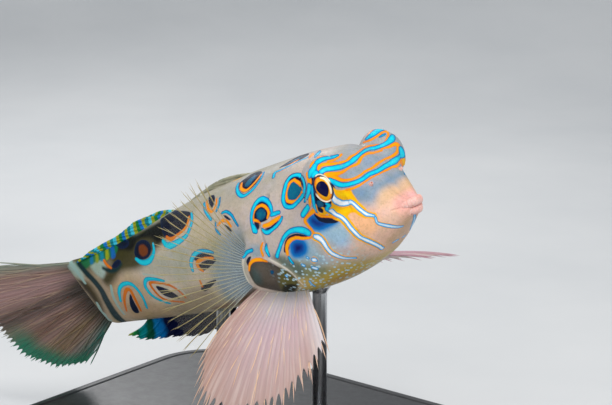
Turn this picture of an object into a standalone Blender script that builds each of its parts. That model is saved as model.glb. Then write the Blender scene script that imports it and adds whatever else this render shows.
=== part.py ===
"""Spotted mandarinfish, a still life-size model on a plain display stand.

The fish is drawn straight first, in millimetres: x forward with the snout tip at 0, y to its
left and z up, so a place d millimetres behind the snout is x = -d. A spine with a little yaw,
pitch and roll then bends it into its swimming pose. The world frame is in metres, +Z up, with
the head towards +X and the origin at the centre of the underside of the stand's base.
"""
import math

import bmesh
import bpy
import numpy as np
from mathutils import Matrix, Vector

MM = 0.001
GAP = 0.3                # clearance between pieces that touch

# Driving sizes of the fish, in millimetres
BODY_LENGTH = 48.5       # snout tip to the end of the tail stem
HEAD_END = 15.5          # the head's rear edge on the body's axis
STEM_START = 32.0        # where the tail stem takes over from the trunk
HEAD_SLANT = 0.34        # how far the head's rear edge leans back for each millimetre up
STEM_SLANT = 0.18        # the same for the end of the tail stem
ORBIT_PLACE = (7.2, 5.5, 4.5)    # behind the snout, out to the side, and up
ORBIT_RADIUS = 2.4
ORBIT_TALL = 1.25        # the orbit's height over its width
EYE_LOOK = (0.51, 0.86, -0.03)
EYE_TALL_AXIS = (-0.16, 0.0, 0.99)
EYE_RADII = (1.2, 1.8, 1.6)      # along the body, tall, and deep
EYE_FORWARD = 1.1        # eyeball centre beyond the orbit's centre, along the gaze
LOBE_PLACE = (18.0, 4.6, -3.2)   # fleshy base that the pectoral and pelvic fins share
LOBE_RADIUS = 2.6
ORBIT_BLEND, LOBE_BLEND = 1.6, 0.8   # how softly each swelling runs into the body

# Lips: height, distance behind the snout, half width, drop towards the corners,
# then the radius in the middle and how much thinner the corners are
UPPER_LIP = (0.52, 0.45, 1.55, 0.22, 0.42, 0.20)
LOWER_LIP = (-0.46, 0.70, 1.45, -0.10, 0.34, 0.15)
MOUTH_DEPTH = 1.6        # how far the mouth's corners lie behind its middle

# Pose of the spine, in degrees
HEAD_YAW, HEAD_PITCH, HEAD_ROLL = 4.2, 14.7, 4.4
TRUNK_YAW, TRUNK_PITCH = -4.2, 12.5
TAIL_YAW, TAIL_PITCH, TAIL_ROLL = 22.0, -13.0, 16.0
TRUNK_BEND = (11, 30)    # the trunk's turn is made between these places
TAIL_BEND = (28, 58)

# Display stand, in millimetres
BASE_SIZE = (56, 42, 5)
BASE_ROUND = 9
BASE_EDGE = 0.8
ROD_RADIUS = 0.8
ROD_PLACES = (13.0, 27.5)
FISH_FORWARD = 6.0       # the spine's reference point ahead of the stand's centre
FISH_HEIGHT = 31.0       # and above the floor
SPINE_REFERENCE = 15.0

# Fins, in millimetres: half the thickness of a ray and of the web between rays
RAY_HALF, WEB_HALF = 0.36, 0.25
ROOT_SUNK = 0.8          # how far a ray runs on inside the body before it is cut clear
SIDE_FIN_PLACE = 17.0    # the spine's place that carries the paired fins
# Root of a paired fin's first ray (behind the snout, out to the side, up), and the last one's
# distance from it
PECTORAL_START, PECTORAL_RUN = (18.5, 6.0, -0.8), (1.0, -0.3, -3.9)
PELVIC_START, PELVIC_RUN = (14.3, 4.0, -6.9), (5.0, 1.4, 1.5)
# Fins on the back and belly: number of rays, first and last place, ray length, rise in degrees
DORSAL_FIRST = (4, 18.6, 25.2, 7.2, 11)
DORSAL_SECOND = (9, 31.0, 43.4, 5.8, 17)
ANAL = (8, 30.0, 42.5, 6.4, 34)
# Angles in degrees and lengths of the rays, at places from 0 (first ray) to 1 (last ray)
PECTORAL_RAYS, PELVIC_RAYS, CAUDAL_RAYS = 16, 15, 12
PECTORAL_FLARE = 20      # how far the rays stand out from the side
PECTORAL_RIGHT = ([0, 0.25, 0.5, 0.75, 1], [88, 54, 22, -4, -34])
PECTORAL_LEFT = ([0, 0.5, 1], [26, -2, -32])
PECTORAL_LENGTHS = ([0, 0.3, 0.7, 1], [9.5, 10.5, 12, 11.5])
PELVIC_TILT_RIGHT, PELVIC_TILT_LEFT = -43, -19
PELVIC_SWEEP = ([0, 0.2, 0.45, 0.7, 1], [30, 17, 2, -22, -38])
PELVIC_LEFT_FORWARD, PELVIC_LEFT_LONGER = 14, 1.05
PELVIC_LENGTHS = ([0, 0.15, 0.35, 0.6, 0.8, 1], [8.5, 11.5, 14.8, 16.2, 15, 10.5])
CAUDAL_ANGLES = (8, -42)
CAUDAL_LENGTHS = ([0, 0.15, 0.35, 0.65, 0.85, 1], [11, 13.5, 15, 15, 12.5, 8.5])
CAUDAL_TOP, CAUDAL_LOW = 3.9, -4.7
FULL_OUTLINE = ([0, 0.15, 0.8, 1], [0.8, 1, 1, 0.75])
SHORT_OUTLINE = ([0, 1], [1, 0.45])
FIN_SAG = 0.8            # bow of the side fins' rays
FOLDED_SAG = 0.5
# How much shorter the web is than the rays beside it
PECTORAL_NOTCH, PELVIC_NOTCH, CAUDAL_NOTCH, MEDIAN_NOTCH = 0.06, 0.09, 0.05, 0.07

# Small openings of the head: behind the snout, angle up from the side in degrees
NOSTRIL_PLACE = (3.45, 44)
NOSTRIL_FOOT, NOSTRIL_RADIUS, NOSTRIL_HEIGHT, NOSTRIL_BORE = 0.53, 0.30, 0.38, 0.17
GILL_PORE_PLACE = (15.0, 38)
GILL_PORE_RADIUS = 0.6
PIT_LIFT = 0.3           # a dimple's ball is this share of its radius above the skin

# Mesh density
ROUND_STEPS = 48
HEAD_FRONT = 0.95        # the head's blunt front, behind the lips
HEAD_RINGS, TRUNK_RINGS, STEM_RINGS = 26, 13, 11


def smooth_curve(*pairs):
    """A smooth function through (place, value) pairs that never overshoots them."""
    place, value = np.array(pairs, float).T
    width = np.diff(place)
    slope = np.diff(value) / width
    tangent = np.concatenate([slope[:1], np.zeros(len(slope) - 1), slope[-1:]])
    for i in range(1, len(slope)):
        if slope[i - 1] * slope[i] > 0:
            before, after = 2 * width[i] + width[i - 1], width[i] + 2 * width[i - 1]
            tangent[i] = (before + after) / (before / slope[i - 1] + after / slope[i])

    def at(where):
        where = np.clip(where, place[0], place[-1])
        k = np.clip(np.searchsorted(place, where, side="right") - 1, 0, len(width) - 1)
        s = (where - place[k]) / width[k]
        rise = width[k] * s * (1 - s)
        ease = s * s * (3 - 2 * s)
        return (value[k] * (1 - ease) + value[k + 1] * ease
                + rise * (tangent[k] * (1 - s) - tangent[k + 1] * s))
    return at


# Outline of the straight body: height of back and belly, half width, and roundness
BACK = smooth_curve((0, 0.3), (0.8, 0.5), (1.6, 1.1), (2.7, 2.7), (4.0, 4.5), (5.8, 6.2),
                    (8, 7.2), (11, 7.1), (14, 6.8), (18, 6.4), (22, 6.1), (27, 5.9),
                    (33, 5.6), (38, 5.0), (44, 4.4), (48.5, 4.1), (51, 4.1))
BELLY = smooth_curve((0, -0.8), (0.6, -1.0), (1.3, -1.35), (2.3, -2.2), (3.6, -3.4),
                     (5.5, -4.9), (8, -6.1), (11, -7.0), (14, -7.5), (18, -7.8), (22, -7.8),
                     (27, -7.5), (33, -6.8), (38, -6.1), (44, -5.5), (51, -5.3))
HALF_WIDTH = smooth_curve((0, 0.8), (0.5, 1.2), (1.2, 1.8), (2.2, 3.1), (3.5, 4.5),
                          (5.5, 5.8), (8, 6.5), (11, 6.8), (14, 6.9), (17, 6.8), (20, 6.4),
                          (25, 5.5), (30, 4.6), (36, 3.5), (42, 2.6), (47, 1.8), (51, 1.4))
LOW_SWELL = smooth_curve((0, 0), (5, 0.12), (12, 0.16), (20, 0.12), (30, 0.05), (51, 0))
SQUARENESS = smooth_curve((0, 2.0), (8, 2.2), (18, 2.3), (30, 2.1), (51, 2.0))


def smooth_max(a, b, blend):
    mix = np.clip(0.5 + 0.5 * (a - b) / blend, 0, 1)
    return b * (1 - mix) + a * mix + blend * mix * (1 - mix)


def swelling_reach(angle, centre_height, d, place, radius, tall):
    """How far out an egg's surface lies from the section's centre, less where it misses."""
    egg_d, egg_y, egg_z = place
    here = radius ** 2 - (d - egg_d) ** 2
    up = (egg_z - centre_height) / tall
    cos, sin = np.cos(angle), np.sin(angle) / tall
    size = cos ** 2 + sin ** 2
    along = egg_y * cos + up * sin
    inside = along ** 2 - size * (egg_y ** 2 + up ** 2 - here)
    return (along + np.sign(inside) * np.sqrt(np.abs(inside))) / size


def section(d, angle, grow=0.0):
    """y and z of the body's surface, d behind the snout, at an angle from +y towards +z."""
    top, low, half = BACK(d), BELLY(d), HALF_WIDTH(d)
    centre, tall = (top + low) / 2, (top - low) / 2
    cos, sin, power = np.cos(angle), np.sin(angle), SQUARENESS(d)
    reach = (np.abs(cos / half) ** power + np.abs(sin / tall) ** power) ** (-1 / power)
    y, z = reach * cos * (1 - LOW_SWELL(d) * sin), reach * sin
    reach, around = np.hypot(y, z), np.arctan2(z, y)
    for place, radius, tall, blend in ((ORBIT_PLACE, ORBIT_RADIUS, ORBIT_TALL, ORBIT_BLEND),
                                       (LOBE_PLACE, LOBE_RADIUS, 1.0, LOBE_BLEND)):
        for side in (1, -1):
            egg = (place[0], side * place[1], place[2])
            swollen = swelling_reach(around, centre, d, egg, radius, tall)
            reach = smooth_max(reach, swollen, blend)
    reach = reach + grow
    return reach * np.cos(around), centre + reach * np.sin(around)


def slant(d):
    """Lean of a ring round the body, so that parts meet along the gill edge and tail base."""
    lean = smooth_curve((0, 0), (7, 0), (HEAD_END, HEAD_SLANT), (24, 0), (40, 0),
                        (BODY_LENGTH, STEM_SLANT), (BODY_LENGTH + 2, STEM_SLANT))
    return lean(d)


def ring(d, grow=0.0):
    angle = np.linspace(0, 2 * math.pi, ROUND_STEPS, endpoint=False)
    z = section(d, angle)[1]
    leaned = d + slant(d) * z
    y, z = section(leaned, angle, grow)
    return np.stack([-leaned, y, z], -1)


def turned(yaw, pitch, roll):
    """Axes of the spine (forward, left, up) as the columns of a matrix."""
    forward = np.array([math.cos(pitch) * math.cos(yaw), math.cos(pitch) * math.sin(yaw),
                        math.sin(pitch)])
    left = np.array([-math.sin(yaw), math.cos(yaw), 0.0])
    up = np.cross(forward, left)
    return np.stack([forward, math.cos(roll) * left + math.sin(roll) * up,
                     math.cos(roll) * up - math.sin(roll) * left], 1)


def eased(where, start, end):
    s = np.clip((where - start) / (end - start), 0, 1)
    return s * s * (3 - 2 * s)


class Spine:
    """The bent spine: it carries points of the straight fish to the world, in millimetres."""

    def __init__(self):
        self.d = np.linspace(-10, 75, 171)
        trunk, tail = eased(self.d, *TRUNK_BEND), eased(self.d, *TAIL_BEND)
        yaw = HEAD_YAW + TRUNK_YAW * trunk + TAIL_YAW * tail
        pitch = HEAD_PITCH + TRUNK_PITCH * trunk + TAIL_PITCH * tail
        roll = HEAD_ROLL + TAIL_ROLL * (trunk + tail) / 2
        self.axes = np.array([turned(*np.radians(turn)) for turn in zip(yaw, pitch, roll)])
        steps = np.diff(self.d)[:, None] * (self.axes[1:, :, 0] + self.axes[:-1, :, 0]) / 2
        self.line = -np.concatenate([np.zeros((1, 3)), np.cumsum(steps, 0)])
        self.line += np.array([FISH_FORWARD, 0, FISH_HEIGHT]) - self.frame(SPINE_REFERENCE)[0]

    def frame(self, d):
        k = np.clip((np.asarray(d, float) - self.d[0]) / (self.d[1] - self.d[0]),
                    0, len(self.d) - 1.001)
        i = k.astype(int)
        a = (k - i)[..., None]
        line = self.line[i] * (1 - a) + self.line[i + 1] * a
        return line, self.axes[i] * (1 - a[..., None]) + self.axes[i + 1] * a[..., None]

    def bend(self, points):
        points = np.asarray(points, float)
        line, axes = self.frame(-points[..., 0])
        return line + axes[..., 1] * points[..., 1:2] + axes[..., 2] * points[..., 2:3]

    def rigid(self, points, d):
        """Points near place d carried as one stiff piece, for the fins at the sides."""
        line, axes = self.frame(d)
        return line + (np.asarray(points, float) + [d, 0, 0]) @ axes.T


SPINE = Spine()


def material(name, colour, roughness, metallic=0.0):
    made = bpy.data.materials.new(name)
    made.use_nodes = True
    shader = made.node_tree.nodes["Principled BSDF"]
    shader.inputs["Base Color"].default_value = (*colour, 1)
    shader.inputs["Roughness"].default_value = roughness
    shader.inputs["Metallic"].default_value = metallic
    return made


def add_object(name, mesh, group):
    made = bpy.data.objects.new(name, mesh)
    group.objects.link(made)
    return made


def mesh_from(name, points, faces):
    """A mesh in metres from points in millimetres, its faces turned to point out."""
    mesh = bpy.data.meshes.new(name)
    mesh.from_pydata((np.asarray(points) * MM).tolist(), [], faces)
    edit = bmesh.new()
    edit.from_mesh(mesh)
    bmesh.ops.recalc_face_normals(edit, faces=edit.faces)
    if edit.calc_volume(signed=True) < 0:
        bmesh.ops.reverse_faces(edit, faces=edit.faces)
    edit.to_mesh(mesh)
    edit.free()
    return mesh


def loft(name, rings):
    """A closed surface through rings of equal length, with a point at the middle of each cap."""
    rings = np.asarray(rings)
    count, around = rings.shape[:2]
    points = np.concatenate([rings.reshape(-1, 3), rings[0].mean(0)[None], rings[-1].mean(0)[None]])
    faces = []
    for i in range(count - 1):
        for j in range(around):
            k = (j + 1) % around
            faces.append((i * around + j, i * around + k, (i + 1) * around + k))
            faces.append((i * around + j, (i + 1) * around + k, (i + 1) * around + j))
    first, last = count * around, count * around + 1
    for j in range(around):
        k = (j + 1) % around
        faces.append((first, k, j))
        faces.append((last, (count - 1) * around + j, (count - 1) * around + k))
    return mesh_from(name, points, faces)


def tube(name, path, radii, sides=14):
    """A closed tube of changing radius along a path, with its rings square to the path."""
    path = np.asarray(path, float)
    along = np.gradient(path, axis=0)
    along /= np.linalg.norm(along, axis=1, keepdims=True)
    side = np.cross(along, np.array([0, 0, 1.0]))
    side /= np.linalg.norm(side, axis=1, keepdims=True)
    up = np.cross(side, along)
    turn = np.linspace(0, 2 * math.pi, sides, endpoint=False)
    radii = np.asarray(radii)[:, None, None]
    rings = path[:, None] + radii * (np.cos(turn)[None, :, None] * side[:, None]
                                     + np.sin(turn)[None, :, None] * up[:, None])
    return loft(name, rings)


def sheet(name, middle, half_thickness):
    """A thin closed fin from a grid of points down its middle, split alike on both faces."""
    middle = np.asarray(middle)
    across = np.gradient(middle, axis=0)
    along = np.gradient(middle, axis=1)
    normal = np.cross(across, along)
    normal /= np.linalg.norm(normal, axis=2, keepdims=True)
    offset = normal * np.asarray(half_thickness)[..., None]
    columns, rows = middle.shape[:2]
    points = np.concatenate([(middle + offset).reshape(-1, 3), (middle - offset).reshape(-1, 3)])
    other = columns * rows

    def at(i, j):
        return i * rows + j
    faces = []
    for i in range(columns - 1):
        for j in range(rows - 1):
            a, b, c, d = at(i, j), at(i + 1, j), at(i + 1, j + 1), at(i, j + 1)
            faces += [(a, b, c), (a, c, d)]
            faces += [(a + other, c + other, b + other), (a + other, d + other, c + other)]
    border = [at(i, 0) for i in range(columns)]
    border += [at(columns - 1, j) for j in range(1, rows)]
    border += [at(i, rows - 1) for i in range(columns - 2, -1, -1)]
    border += [at(0, j) for j in range(rows - 2, 0, -1)]
    for a, b in zip(border, border[1:] + border[:1]):
        faces += [(a, a + other, b + other), (a, b + other, b)]
    return mesh_from(name, points, faces)


def keep_largest(mesh):
    """Leave only the closed surface that holds the most volume."""
    edit = bmesh.new()
    edit.from_mesh(mesh)
    bmesh.ops.triangulate(edit, faces=edit.faces)
    bmesh.ops.remove_doubles(edit, verts=edit.verts, dist=1e-7)
    bmesh.ops.dissolve_degenerate(edit, edges=edit.edges, dist=1e-7)
    left = set(edit.verts)
    islands = []
    while left:
        island, front = set(), [left.pop()]
        while front:
            vertex = front.pop()
            island.add(vertex)
            for edge in vertex.link_edges:
                other = edge.other_vert(vertex)
                if other in left:
                    left.discard(other)
                    front.append(other)
        islands.append(island)

    def span(island):
        places = np.array([vertex.co for vertex in island])
        return float(np.prod(places.max(0) - places.min(0) + MM * 0.01))
    largest = max(islands, key=span)
    bmesh.ops.delete(edit, geom=[v for v in edit.verts if v not in largest], context="VERTS")
    edit.to_mesh(mesh)
    edit.free()


def carve(target, cutters, operation="DIFFERENCE"):
    """Cut each cutter from the target, or join it on, and keep the result as its mesh."""
    for solver in ("EXACT", "MANIFOLD"):
        for cutter in cutters:
            step = target.modifiers.new("carve", "BOOLEAN")
            step.operation = operation
            step.object = cutter
            step.solver = solver
        bpy.context.view_layer.update()
        view = bpy.context.evaluated_depsgraph_get()
        carved = bpy.data.meshes.new_from_object(target.evaluated_get(view))
        target.modifiers.clear()
        if len(carved.vertices) > 0:
            break
    keep_largest(carved)
    target.data = carved


def finish(target, look, smooth_angle=40):
    target.data.materials.clear()
    target.data.materials.append(look)
    target.data.shade_smooth()
    target.data.set_sharp_from_angle(angle=math.radians(smooth_angle))


def body_rings(start, end, count, grow=0.0):
    return [SPINE.bend(ring(d, grow)) for d in np.linspace(start, end, count)]


def lip(height, back, reach, drop, radius, thinner):
    """Half-oval round the mouth from corner to corner, and its radius along the way."""
    turn = np.linspace(-1, 1, 17)
    y = reach * np.sin(turn * math.pi / 2)
    x = -back - MOUTH_DEPTH * (1 - np.cos(turn * math.pi / 2))
    z = height - drop * turn ** 2
    return SPINE.bend(np.stack([x, y, z], -1)), radius - thinner * turn ** 2


def build_head(group, cutters, look):
    spread = np.linspace(0, 1, HEAD_RINGS) ** 1.25
    places = HEAD_FRONT + (HEAD_END - GAP / 2 - HEAD_FRONT) * spread
    head = add_object("head", loft("head", [SPINE.bend(ring(d)) for d in places]), group)
    tools = []
    for side, name in ((1, "left"), (-1, "right")):
        tools.append(eyeball("socket_" + name, side, GAP, cutters))
    for sizes in (UPPER_LIP, LOWER_LIP):
        path, radii = lip(*sizes)
        tools.append(add_object("mouth_groove", tube("mouth_groove", path, radii + GAP), cutters))
    bores, rims = nostrils(cutters)
    for side in (1, -1):
        pore, outward = surface_place(*GILL_PORE_PLACE, side)
        tools.append(pit("gill_pore", pore, outward, GILL_PORE_RADIUS, cutters))
    carve(head, rims, "UNION")
    carve(head, tools + bores)
    for spent in rims:
        bpy.data.objects.remove(spent)
    finish(head, look)


def surface_place(d, degrees, side):
    """A world point on the body's skin and the direction straight out of it there."""
    angle = math.radians(degrees if side > 0 else 180 - degrees)

    def at(d, angle):
        y, z = section(d, angle)
        return SPINE.bend(np.array([-d, float(y), float(z)]))
    step = 0.01
    here = at(d, angle)
    out = np.cross(at(d, angle + step) - here, here - at(d + step, angle))
    out /= np.linalg.norm(out)
    centre = SPINE.bend(np.array([-d, 0.0, 0.0]))
    return here, out if np.dot(out, here - centre) > 0 else -out


def stub(name, centre, outward, radii, span, group, segments=14):
    """A short closed cone along outward, from span[0] to span[1] past the centre."""
    mesh = bpy.data.meshes.new(name)
    edit = bmesh.new()
    bmesh.ops.create_cone(edit, cap_ends=True, segments=segments, radius1=radii[0] * MM,
                          radius2=radii[1] * MM, depth=(span[1] - span[0]) * MM)
    turn = Vector(outward).to_track_quat("Z", "Y").to_matrix().to_4x4()
    middle = np.asarray(centre) + np.asarray(outward) * (span[0] + span[1]) / 2
    bmesh.ops.transform(edit, verts=edit.verts, matrix=Matrix.Translation(middle * MM) @ turn)
    edit.to_mesh(mesh)
    edit.free()
    return add_object(name, mesh, group)


def pit(name, centre, outward, radius, group):
    """A ball that cuts a shallow dimple into the skin."""
    mesh = bpy.data.meshes.new(name)
    edit = bmesh.new()
    bmesh.ops.create_icosphere(edit, subdivisions=2, radius=radius * MM)
    middle = np.asarray(centre) + np.asarray(outward) * radius * PIT_LIFT
    bmesh.ops.translate(edit, verts=edit.verts, vec=(middle * MM).tolist())
    edit.to_mesh(mesh)
    edit.free()
    return add_object(name, mesh, group)


def nostrils(group):
    """Short tubes before the eyes: the cutters of their bores, and their rims to join on."""
    bores, rims = [], []
    for side in (1, -1):
        centre, outward = surface_place(*NOSTRIL_PLACE, side)
        rims.append(stub("nostril_rim", centre, outward, (NOSTRIL_FOOT, NOSTRIL_RADIUS),
                         (-NOSTRIL_HEIGHT, NOSTRIL_HEIGHT), group))
        bores.append(stub("nostril_bore", centre, outward, (NOSTRIL_BORE, NOSTRIL_BORE),
                          (-NOSTRIL_BORE, NOSTRIL_HEIGHT * 2), group))
    return bores, rims


def eye_frame(side):
    """Centre of an eyeball on the straight fish, and its axes: across, tall and along the gaze."""
    look = np.array(EYE_LOOK) * [1, side, 1]
    look /= np.linalg.norm(look)
    tall = np.array(EYE_TALL_AXIS) - look * np.dot(look, EYE_TALL_AXIS)
    tall /= np.linalg.norm(tall)
    d, y, z = ORBIT_PLACE
    centre = np.array([-d, side * y, z]) + EYE_FORWARD * look
    return centre, np.stack([np.cross(tall, look), tall, look])


def eyeball(name, side, grow, group, rings=12, segments=22):
    centre, axes = eye_frame(side)
    mesh = bpy.data.meshes.new(name)
    edit = bmesh.new()
    bmesh.ops.create_uvsphere(edit, u_segments=segments, v_segments=rings, radius=1)
    radii = np.array(EYE_RADII) + grow
    for vertex in edit.verts:
        straight = centre + (np.array(vertex.co) * radii) @ axes
        vertex.co = SPINE.bend(straight) * MM
    bmesh.ops.recalc_face_normals(edit, faces=edit.faces)
    edit.to_mesh(mesh)
    edit.free()
    return add_object(name, mesh, group)


def build_lips(group, look):
    for name, sizes in (("upper_lip", UPPER_LIP), ("lower_lip", LOWER_LIP)):
        path, radii = lip(*sizes)
        finish(add_object(name, tube(name, path, radii), group), look)


def build_eyes(group, look):
    for side, name in ((1, "eye_left"), (-1, "eye_right")):
        finish(eyeball(name, side, 0, group), look)


def ray_places(count):
    """Places from 0 to 1 across a fin: its rays, and the web's middle between each two."""
    return np.linspace(0, 1, 2 * count - 1)


def fan(bases, directions, lengths, sag, notch, rows):
    """Grid of points along rays from their roots to their tips, the web notched between them."""
    directions = directions / np.linalg.norm(directions, axis=1, keepdims=True)
    on_web = np.arange(len(bases)) % 2 == 1
    lengths = np.where(on_web, lengths * (1 - notch), lengths)
    u = np.linspace(0, 1, rows)[None, :, None]
    roots = (bases - directions * ROOT_SUNK)[:, None]
    reach = (directions * (lengths + ROOT_SUNK)[:, None])[:, None]
    return roots + reach * u + np.asarray(sag) * 4 * u * (1 - u)


def ray_thickness(columns, rows):
    """Half thickness over a fin's grid: rays stand proud of the web and taper to the tips."""
    on_web = (np.arange(columns) % 2 == 1)[:, None]
    u = np.linspace(0, 1, rows)[None, :]
    taper = np.interp(u, [0, 0.25, 0.85, 1], [1.15, 1, 0.95, 0.6])
    return np.where(on_web, WEB_HALF, RAY_HALF) * taper


def side_roots(start, run, side, t):
    """Roots of a paired fin's rays along a line on the fish's side."""
    behind, out, up = (first + change * t for first, change in zip(start, run))
    return np.stack([-behind, side * out, up], -1)


def pectoral(side):
    """A side fin's rays fan out behind the lobe, the first ones up and the last ones down."""
    t = ray_places(PECTORAL_RAYS)
    bases = side_roots(PECTORAL_START, PECTORAL_RUN, side, t)
    angle = np.radians(np.interp(t, *(PECTORAL_RIGHT if side < 0 else PECTORAL_LEFT)))
    flare = math.radians(PECTORAL_FLARE)
    out = np.full(len(t), side * math.sin(flare))
    directions = np.stack([-np.cos(angle) * math.cos(flare), out,
                           np.sin(angle) * math.cos(flare)], -1)
    lengths = np.interp(t, *PECTORAL_LENGTHS)
    grid = fan(bases, directions, lengths, (0, side * FIN_SAG, 0), PECTORAL_NOTCH, 8)
    return SPINE.rigid(grid, SIDE_FIN_PLACE)


def pelvic(side):
    """A broad fin under the side: its rays point out and down, swept from front to back."""
    t = ray_places(PELVIC_RAYS)
    bases = side_roots(PELVIC_START, PELVIC_RUN, side, t)
    tilt = math.radians(PELVIC_TILT_RIGHT if side < 0 else PELVIC_TILT_LEFT)
    forward, longer = (0, 1) if side < 0 else (PELVIC_LEFT_FORWARD, PELVIC_LEFT_LONGER)
    sweep = np.radians(np.interp(t, *PELVIC_SWEEP) + forward)
    directions = np.stack([np.sin(sweep), side * np.cos(sweep) * math.cos(tilt),
                           np.cos(sweep) * math.sin(tilt)], -1)
    lengths = longer * np.interp(t, *PELVIC_LENGTHS)
    grid = fan(bases, directions, lengths, (0, 0, FIN_SAG), PELVIC_NOTCH, 9)
    return SPINE.rigid(grid, SIDE_FIN_PLACE)


def caudal():
    """The rounded tail fin, spread along the slanting end of the stem."""
    t = ray_places(CAUDAL_RAYS)
    height = CAUDAL_TOP + (CAUDAL_LOW - CAUDAL_TOP) * t
    bases = np.stack([-BODY_LENGTH - STEM_SLANT * height, 0 * t, height], -1)
    angle = np.radians(CAUDAL_ANGLES[0] + (CAUDAL_ANGLES[1] - CAUDAL_ANGLES[0]) * t)
    directions = np.stack([-np.cos(angle), 0 * t, np.sin(angle)], -1)
    lengths = np.interp(t, *CAUDAL_LENGTHS)
    return SPINE.bend(fan(bases, directions, lengths, (0, 0, 0), CAUDAL_NOTCH, 9))


def median(sizes, outline, edge, up):
    """A folded fin on the back (up = 1) or under the tail (up = -1), its rays laid back."""
    rays, start, end, length, rise = sizes
    t = ray_places(rays)
    d = start + (end - start) * t
    angle = math.radians(rise)
    slope = np.gradient(edge(d), d)
    bases = np.stack([-d, 0 * t, edge(d) - up * ROOT_SUNK * math.cos(angle)], -1)
    directions = np.stack([np.full(len(t), -math.cos(angle)), 0 * t,
                           up * math.sin(angle) + slope], -1)
    lengths = length * np.interp(t, *outline)
    return SPINE.bend(fan(bases, directions, lengths, (0, 0, up * FOLDED_SAG), MEDIAN_NOTCH, 6))


def fin_grids():
    return {
        "dorsal_fin_first": median(DORSAL_FIRST, SHORT_OUTLINE, BACK, 1),
        "dorsal_fin_second": median(DORSAL_SECOND, FULL_OUTLINE, BACK, 1),
        "anal_fin": median(ANAL, FULL_OUTLINE, BELLY, -1),
        "caudal_fin": caudal(),
        "pectoral_fin_left": pectoral(1),
        "pectoral_fin_right": pectoral(-1),
        "pelvic_fin_left": pelvic(1),
        "pelvic_fin_right": pelvic(-1),
    }


def build_fins(group, body, looks):
    for name, grid in fin_grids().items():
        fin = add_object(name, sheet(name, grid, ray_thickness(*grid.shape[:2])), group)
        carve(fin, [body])
        finish(fin, looks[name.rsplit("_", 1)[0] if name.startswith("p") else name])


def build_stand(group, body, look_base, look_rod):
    mesh = bpy.data.meshes.new("stand_base")
    edit = bmesh.new()
    bmesh.ops.create_cube(edit, size=1)
    length, width, height = (value * MM for value in BASE_SIZE)
    bmesh.ops.scale(edit, verts=edit.verts, vec=(length, width, height))
    bmesh.ops.translate(edit, verts=edit.verts, vec=(0, 0, height / 2))
    upright = [e for e in edit.edges if abs(e.verts[0].co.z - e.verts[1].co.z) > height / 2]
    bmesh.ops.bevel(edit, geom=upright, offset=BASE_ROUND * MM, segments=8, profile=0.5,
                    affect="EDGES")
    rim = [e for e in edit.edges if min(v.co.z for v in e.verts) > height * 0.99]
    bmesh.ops.bevel(edit, geom=rim, offset=BASE_EDGE * MM, segments=2, profile=0.5,
                    affect="EDGES")
    edit.to_mesh(mesh)
    edit.free()
    base = add_object("stand_base", mesh, group)
    finish(base, look_base, 25)
    for name, d in zip(("stand_rod_front", "stand_rod_rear"), ROD_PLACES):
        foot = SPINE.bend([-d, 0, 0])
        low = BASE_SIZE[2] + GAP
        high = foot[2]
        mesh = bpy.data.meshes.new(name)
        edit = bmesh.new()
        bmesh.ops.create_cone(edit, cap_ends=True, segments=20, radius1=ROD_RADIUS * MM,
                              radius2=ROD_RADIUS * MM, depth=(high - low) * MM)
        bmesh.ops.translate(edit, verts=edit.verts,
                            vec=(foot[0] * MM, foot[1] * MM, (low + high) / 2 * MM))
        edit.to_mesh(mesh)
        edit.free()
        rod = add_object(name, mesh, group)
        carve(rod, [body])
        finish(rod, look_rod)


def main():
    for old in list(bpy.data.objects):
        bpy.data.objects.remove(old)
    model = bpy.data.collections.new("spotted_mandarinfish")
    cutters = bpy.data.collections.new("cutters")
    for group in (model, cutters):
        bpy.context.scene.collection.children.link(group)

    skin = material("skin", (0.55, 0.50, 0.42), 0.35)
    lips = material("lips", (0.85, 0.50, 0.42), 0.35)
    eyes = material("eyes", (0.80, 0.40, 0.06), 0.08)
    folded = material("median_fins", (0.12, 0.35, 0.30), 0.4)
    fins = {
        "dorsal_fin_first": folded,
        "dorsal_fin_second": folded,
        "anal_fin": folded,
        "caudal_fin": material("tail_fin", (0.50, 0.36, 0.32), 0.4),
        "pectoral_fin": material("pectoral_fins", (0.78, 0.74, 0.60), 0.4),
        "pelvic_fin": material("pelvic_fins", (0.75, 0.50, 0.48), 0.4),
    }
    base = material("stand_base", (0.05, 0.05, 0.055), 0.35)
    steel = material("stand_rods", (0.62, 0.62, 0.62), 0.25, 1.0)

    swollen = add_object("body_with_clearance", loft(
        "body_with_clearance",
        body_rings(HEAD_FRONT, HEAD_END, HEAD_RINGS, GAP)
        + body_rings(HEAD_END + 1, STEM_START, TRUNK_RINGS, GAP)
        + body_rings(STEM_START + 1, BODY_LENGTH + GAP, STEM_RINGS, GAP)), cutters)
    build_head(model, cutters, skin)
    trunk = loft("trunk", body_rings(HEAD_END + GAP / 2, STEM_START - GAP / 2, TRUNK_RINGS))
    finish(add_object("trunk", trunk, model), skin)
    stem = loft("tail_stem", body_rings(STEM_START + GAP / 2, BODY_LENGTH, STEM_RINGS))
    finish(add_object("tail_stem", stem, model), skin)
    build_lips(model, lips)
    build_eyes(model, eyes)
    build_fins(model, swollen, fins)
    build_stand(model, swollen, base, steel)
    for cutter in cutters.objects:
        cutter.hide_render = True
        cutter.display_type = "WIRE"


main()
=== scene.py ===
"""Looks of the spotted mandarinfish on its display stand.

The fish's shape functions are those of the part's source: it is drawn straight in millimetres,
with x forward from the snout tip, y to its left and z up, and then bent by its spine. Markings
are strokes and fills named by their places in the photo's 612 x 405 frame. Each place is cast
through the camera onto the skin, so a marking sits on the skin from any side, and the right
side's markings are repeated on the left side with small changes.
"""
import math
from itertools import product

import bpy
import numpy as np
from mathutils import Matrix, Vector
from mathutils.bvhtree import BVHTree


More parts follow.
